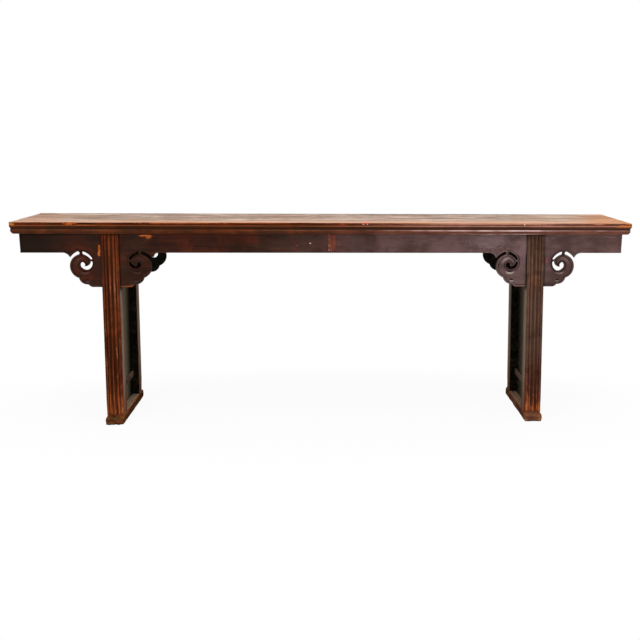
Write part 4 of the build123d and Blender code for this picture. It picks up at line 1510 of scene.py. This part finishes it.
for nodeName, node in nodes.items():
    kept = None
    if nodeName.startswith("top_batten"):
        kept = battenFinish
    elif "panel" in nodeName or "upper_rail" in nodeName:
        kept = panelFinish
    if kept:
        node.data.materials.clear()
        node.data.materials.append(kept)
print("shoes, stretchers and panels placed")


# room: pale floor, soft lamps, camera

roomLook = {
    "floor": 80.0, "floorColour": (0.84, 0.84, 0.83, 1.0), "glow": 0.93, "ambient": 0.45,
    "white": 1.0, "plainFrom": 0.6, "plainTo": 1.5, "pool": (0.66, 1.7, 0.0),
    "cells": 12, "sunk": -0.0002, "ambientColour": (0.95, 0.97, 1.0, 1.0),
    "whiteColour": (1.0, 1.0, 1.0, 1.0),
}


def floorFinish(look):
    f = Finish(bpy.data.materials.new("studioFloor"))
    far = f.vector("LENGTH", f.vector("MULTIPLY", f.place, look["pool"]), output=1)
    share = look["glow"] + f.rise(far, look["plainFrom"], look["plainTo"]) * (1.0 - look["glow"])
    matt = f.node("BsdfDiffuse", {}, {"Color": look["floorColour"]})
    glow = f.node("Emission", {}, {"Color": look["whiteColour"], "Strength": look["white"]})
    bright = f.node("MixShader", {}, {0: f.looked() * share, 1: matt, 2: glow})
    return f.end(bright)


def studioFloor(look):
    # a broad sheet that fades into the backdrop
    half, count = look["floor"] / 2, look["cells"]
    verts = [((i / count - 0.5) * 2 * half, (j / count - 0.5) * 2 * half, look["sunk"])
             for i in range(count + 1) for j in range(count + 1)]
    faces = [(i * (count + 1) + j, (i + 1) * (count + 1) + j, (i + 1) * (count + 1) + j + 1,
              i * (count + 1) + j + 1) for i in range(count) for j in range(count)]
    mesh = bpy.data.meshes.new("floor")
    mesh.from_pydata(verts, [], faces)
    mesh.materials.append(floorFinish(look))
    sheet = bpy.data.objects.new("floor", mesh)
    bpy.context.scene.collection.objects.link(sheet)


def backdrop(look):
    world = bpy.data.worlds.new("studio")
    bpy.context.scene.world = world
    f = Finish(world)
    soft = f.node("Background", {}, {"Color": look["ambientColour"], "Strength": look["ambient"]})
    white = f.node("Background", {}, {"Color": look["whiteColour"], "Strength": look["white"]})
    both = f.node("MixShader", {}, {0: f.looked(), 1: soft, 2: white})
    f.end(both, "World")


lampLook = [
    # name, place, aimed at, width, height, watts
    ("overhead", (0.3, -1.6, 4.0), (0.0, 0.0, 0.6), 4.5, 2.6, 95.0),
    ("lowRight", (2.2, -5.1, 0.9), (0.85, -0.18, 0.8), 1.8, 1.2, 80.0),
    ("frontLeft", (-3.2, -4.2, 1.7), (-0.3, 0.0, 0.6), 2.4, 1.8, 90.0),
    ("lowFar", (3.4, -3.0, 0.5), (-0.95, 0.0, 0.4), 1.0, 0.8, 14.0),
]


def lamps(rows):
    for name, place, aim, width, height, watts in rows:
        light = bpy.data.lights.new(name, "AREA")
        light.shape = "RECTANGLE"
        light.size, light.size_y = width, height
        light.energy = watts
        lamp = bpy.data.objects.new(name, light)
        way = Vector(aim) - Vector(place)
        lamp.matrix_world = (Matrix.Translation(Vector(place))
                             @ way.to_track_quat("-Z", "Y").to_matrix().to_4x4())
        bpy.context.scene.collection.objects.link(lamp)


cameraLook = {
    "place": (0.00385, -3.81305, 1.29472), "yaw": 2.76, "pitch": 12.66, "roll": 0.42,
    "focal": 831.37, "shift": -0.0719,
}


def camera(look):
    lens = bpy.data.cameras.new("camera")
    lens.sensor_fit = "HORIZONTAL"
    lens.sensor_width = 36.0
    lens.lens = look["focal"] / 640.0 * 36.0
    lens.shift_x = look["shift"]
    lens.clip_end = 200.0
    eye = bpy.data.objects.new("camera", lens)
    eye.matrix_world = (Matrix.Translation(Vector(look["place"]))
                        @ Matrix.Rotation(math.radians(-look["yaw"]), 4, "Z")
                        @ Matrix.Rotation(math.radians(90.0 - look["pitch"]), 4, "X")
                        @ Matrix.Rotation(math.radians(look["roll"]), 4, "Z"))
    bpy.context.scene.collection.objects.link(eye)
    bpy.context.scene.camera = eye


studioFloor(roomLook)
backdrop(roomLook)
lamps(lampLook)
camera(cameraLook)
bpy.context.scene.view_settings.view_transform = "Standard"
print("room set")


def plain(box):
    return [[float(value) for value in corner] for corner in box]
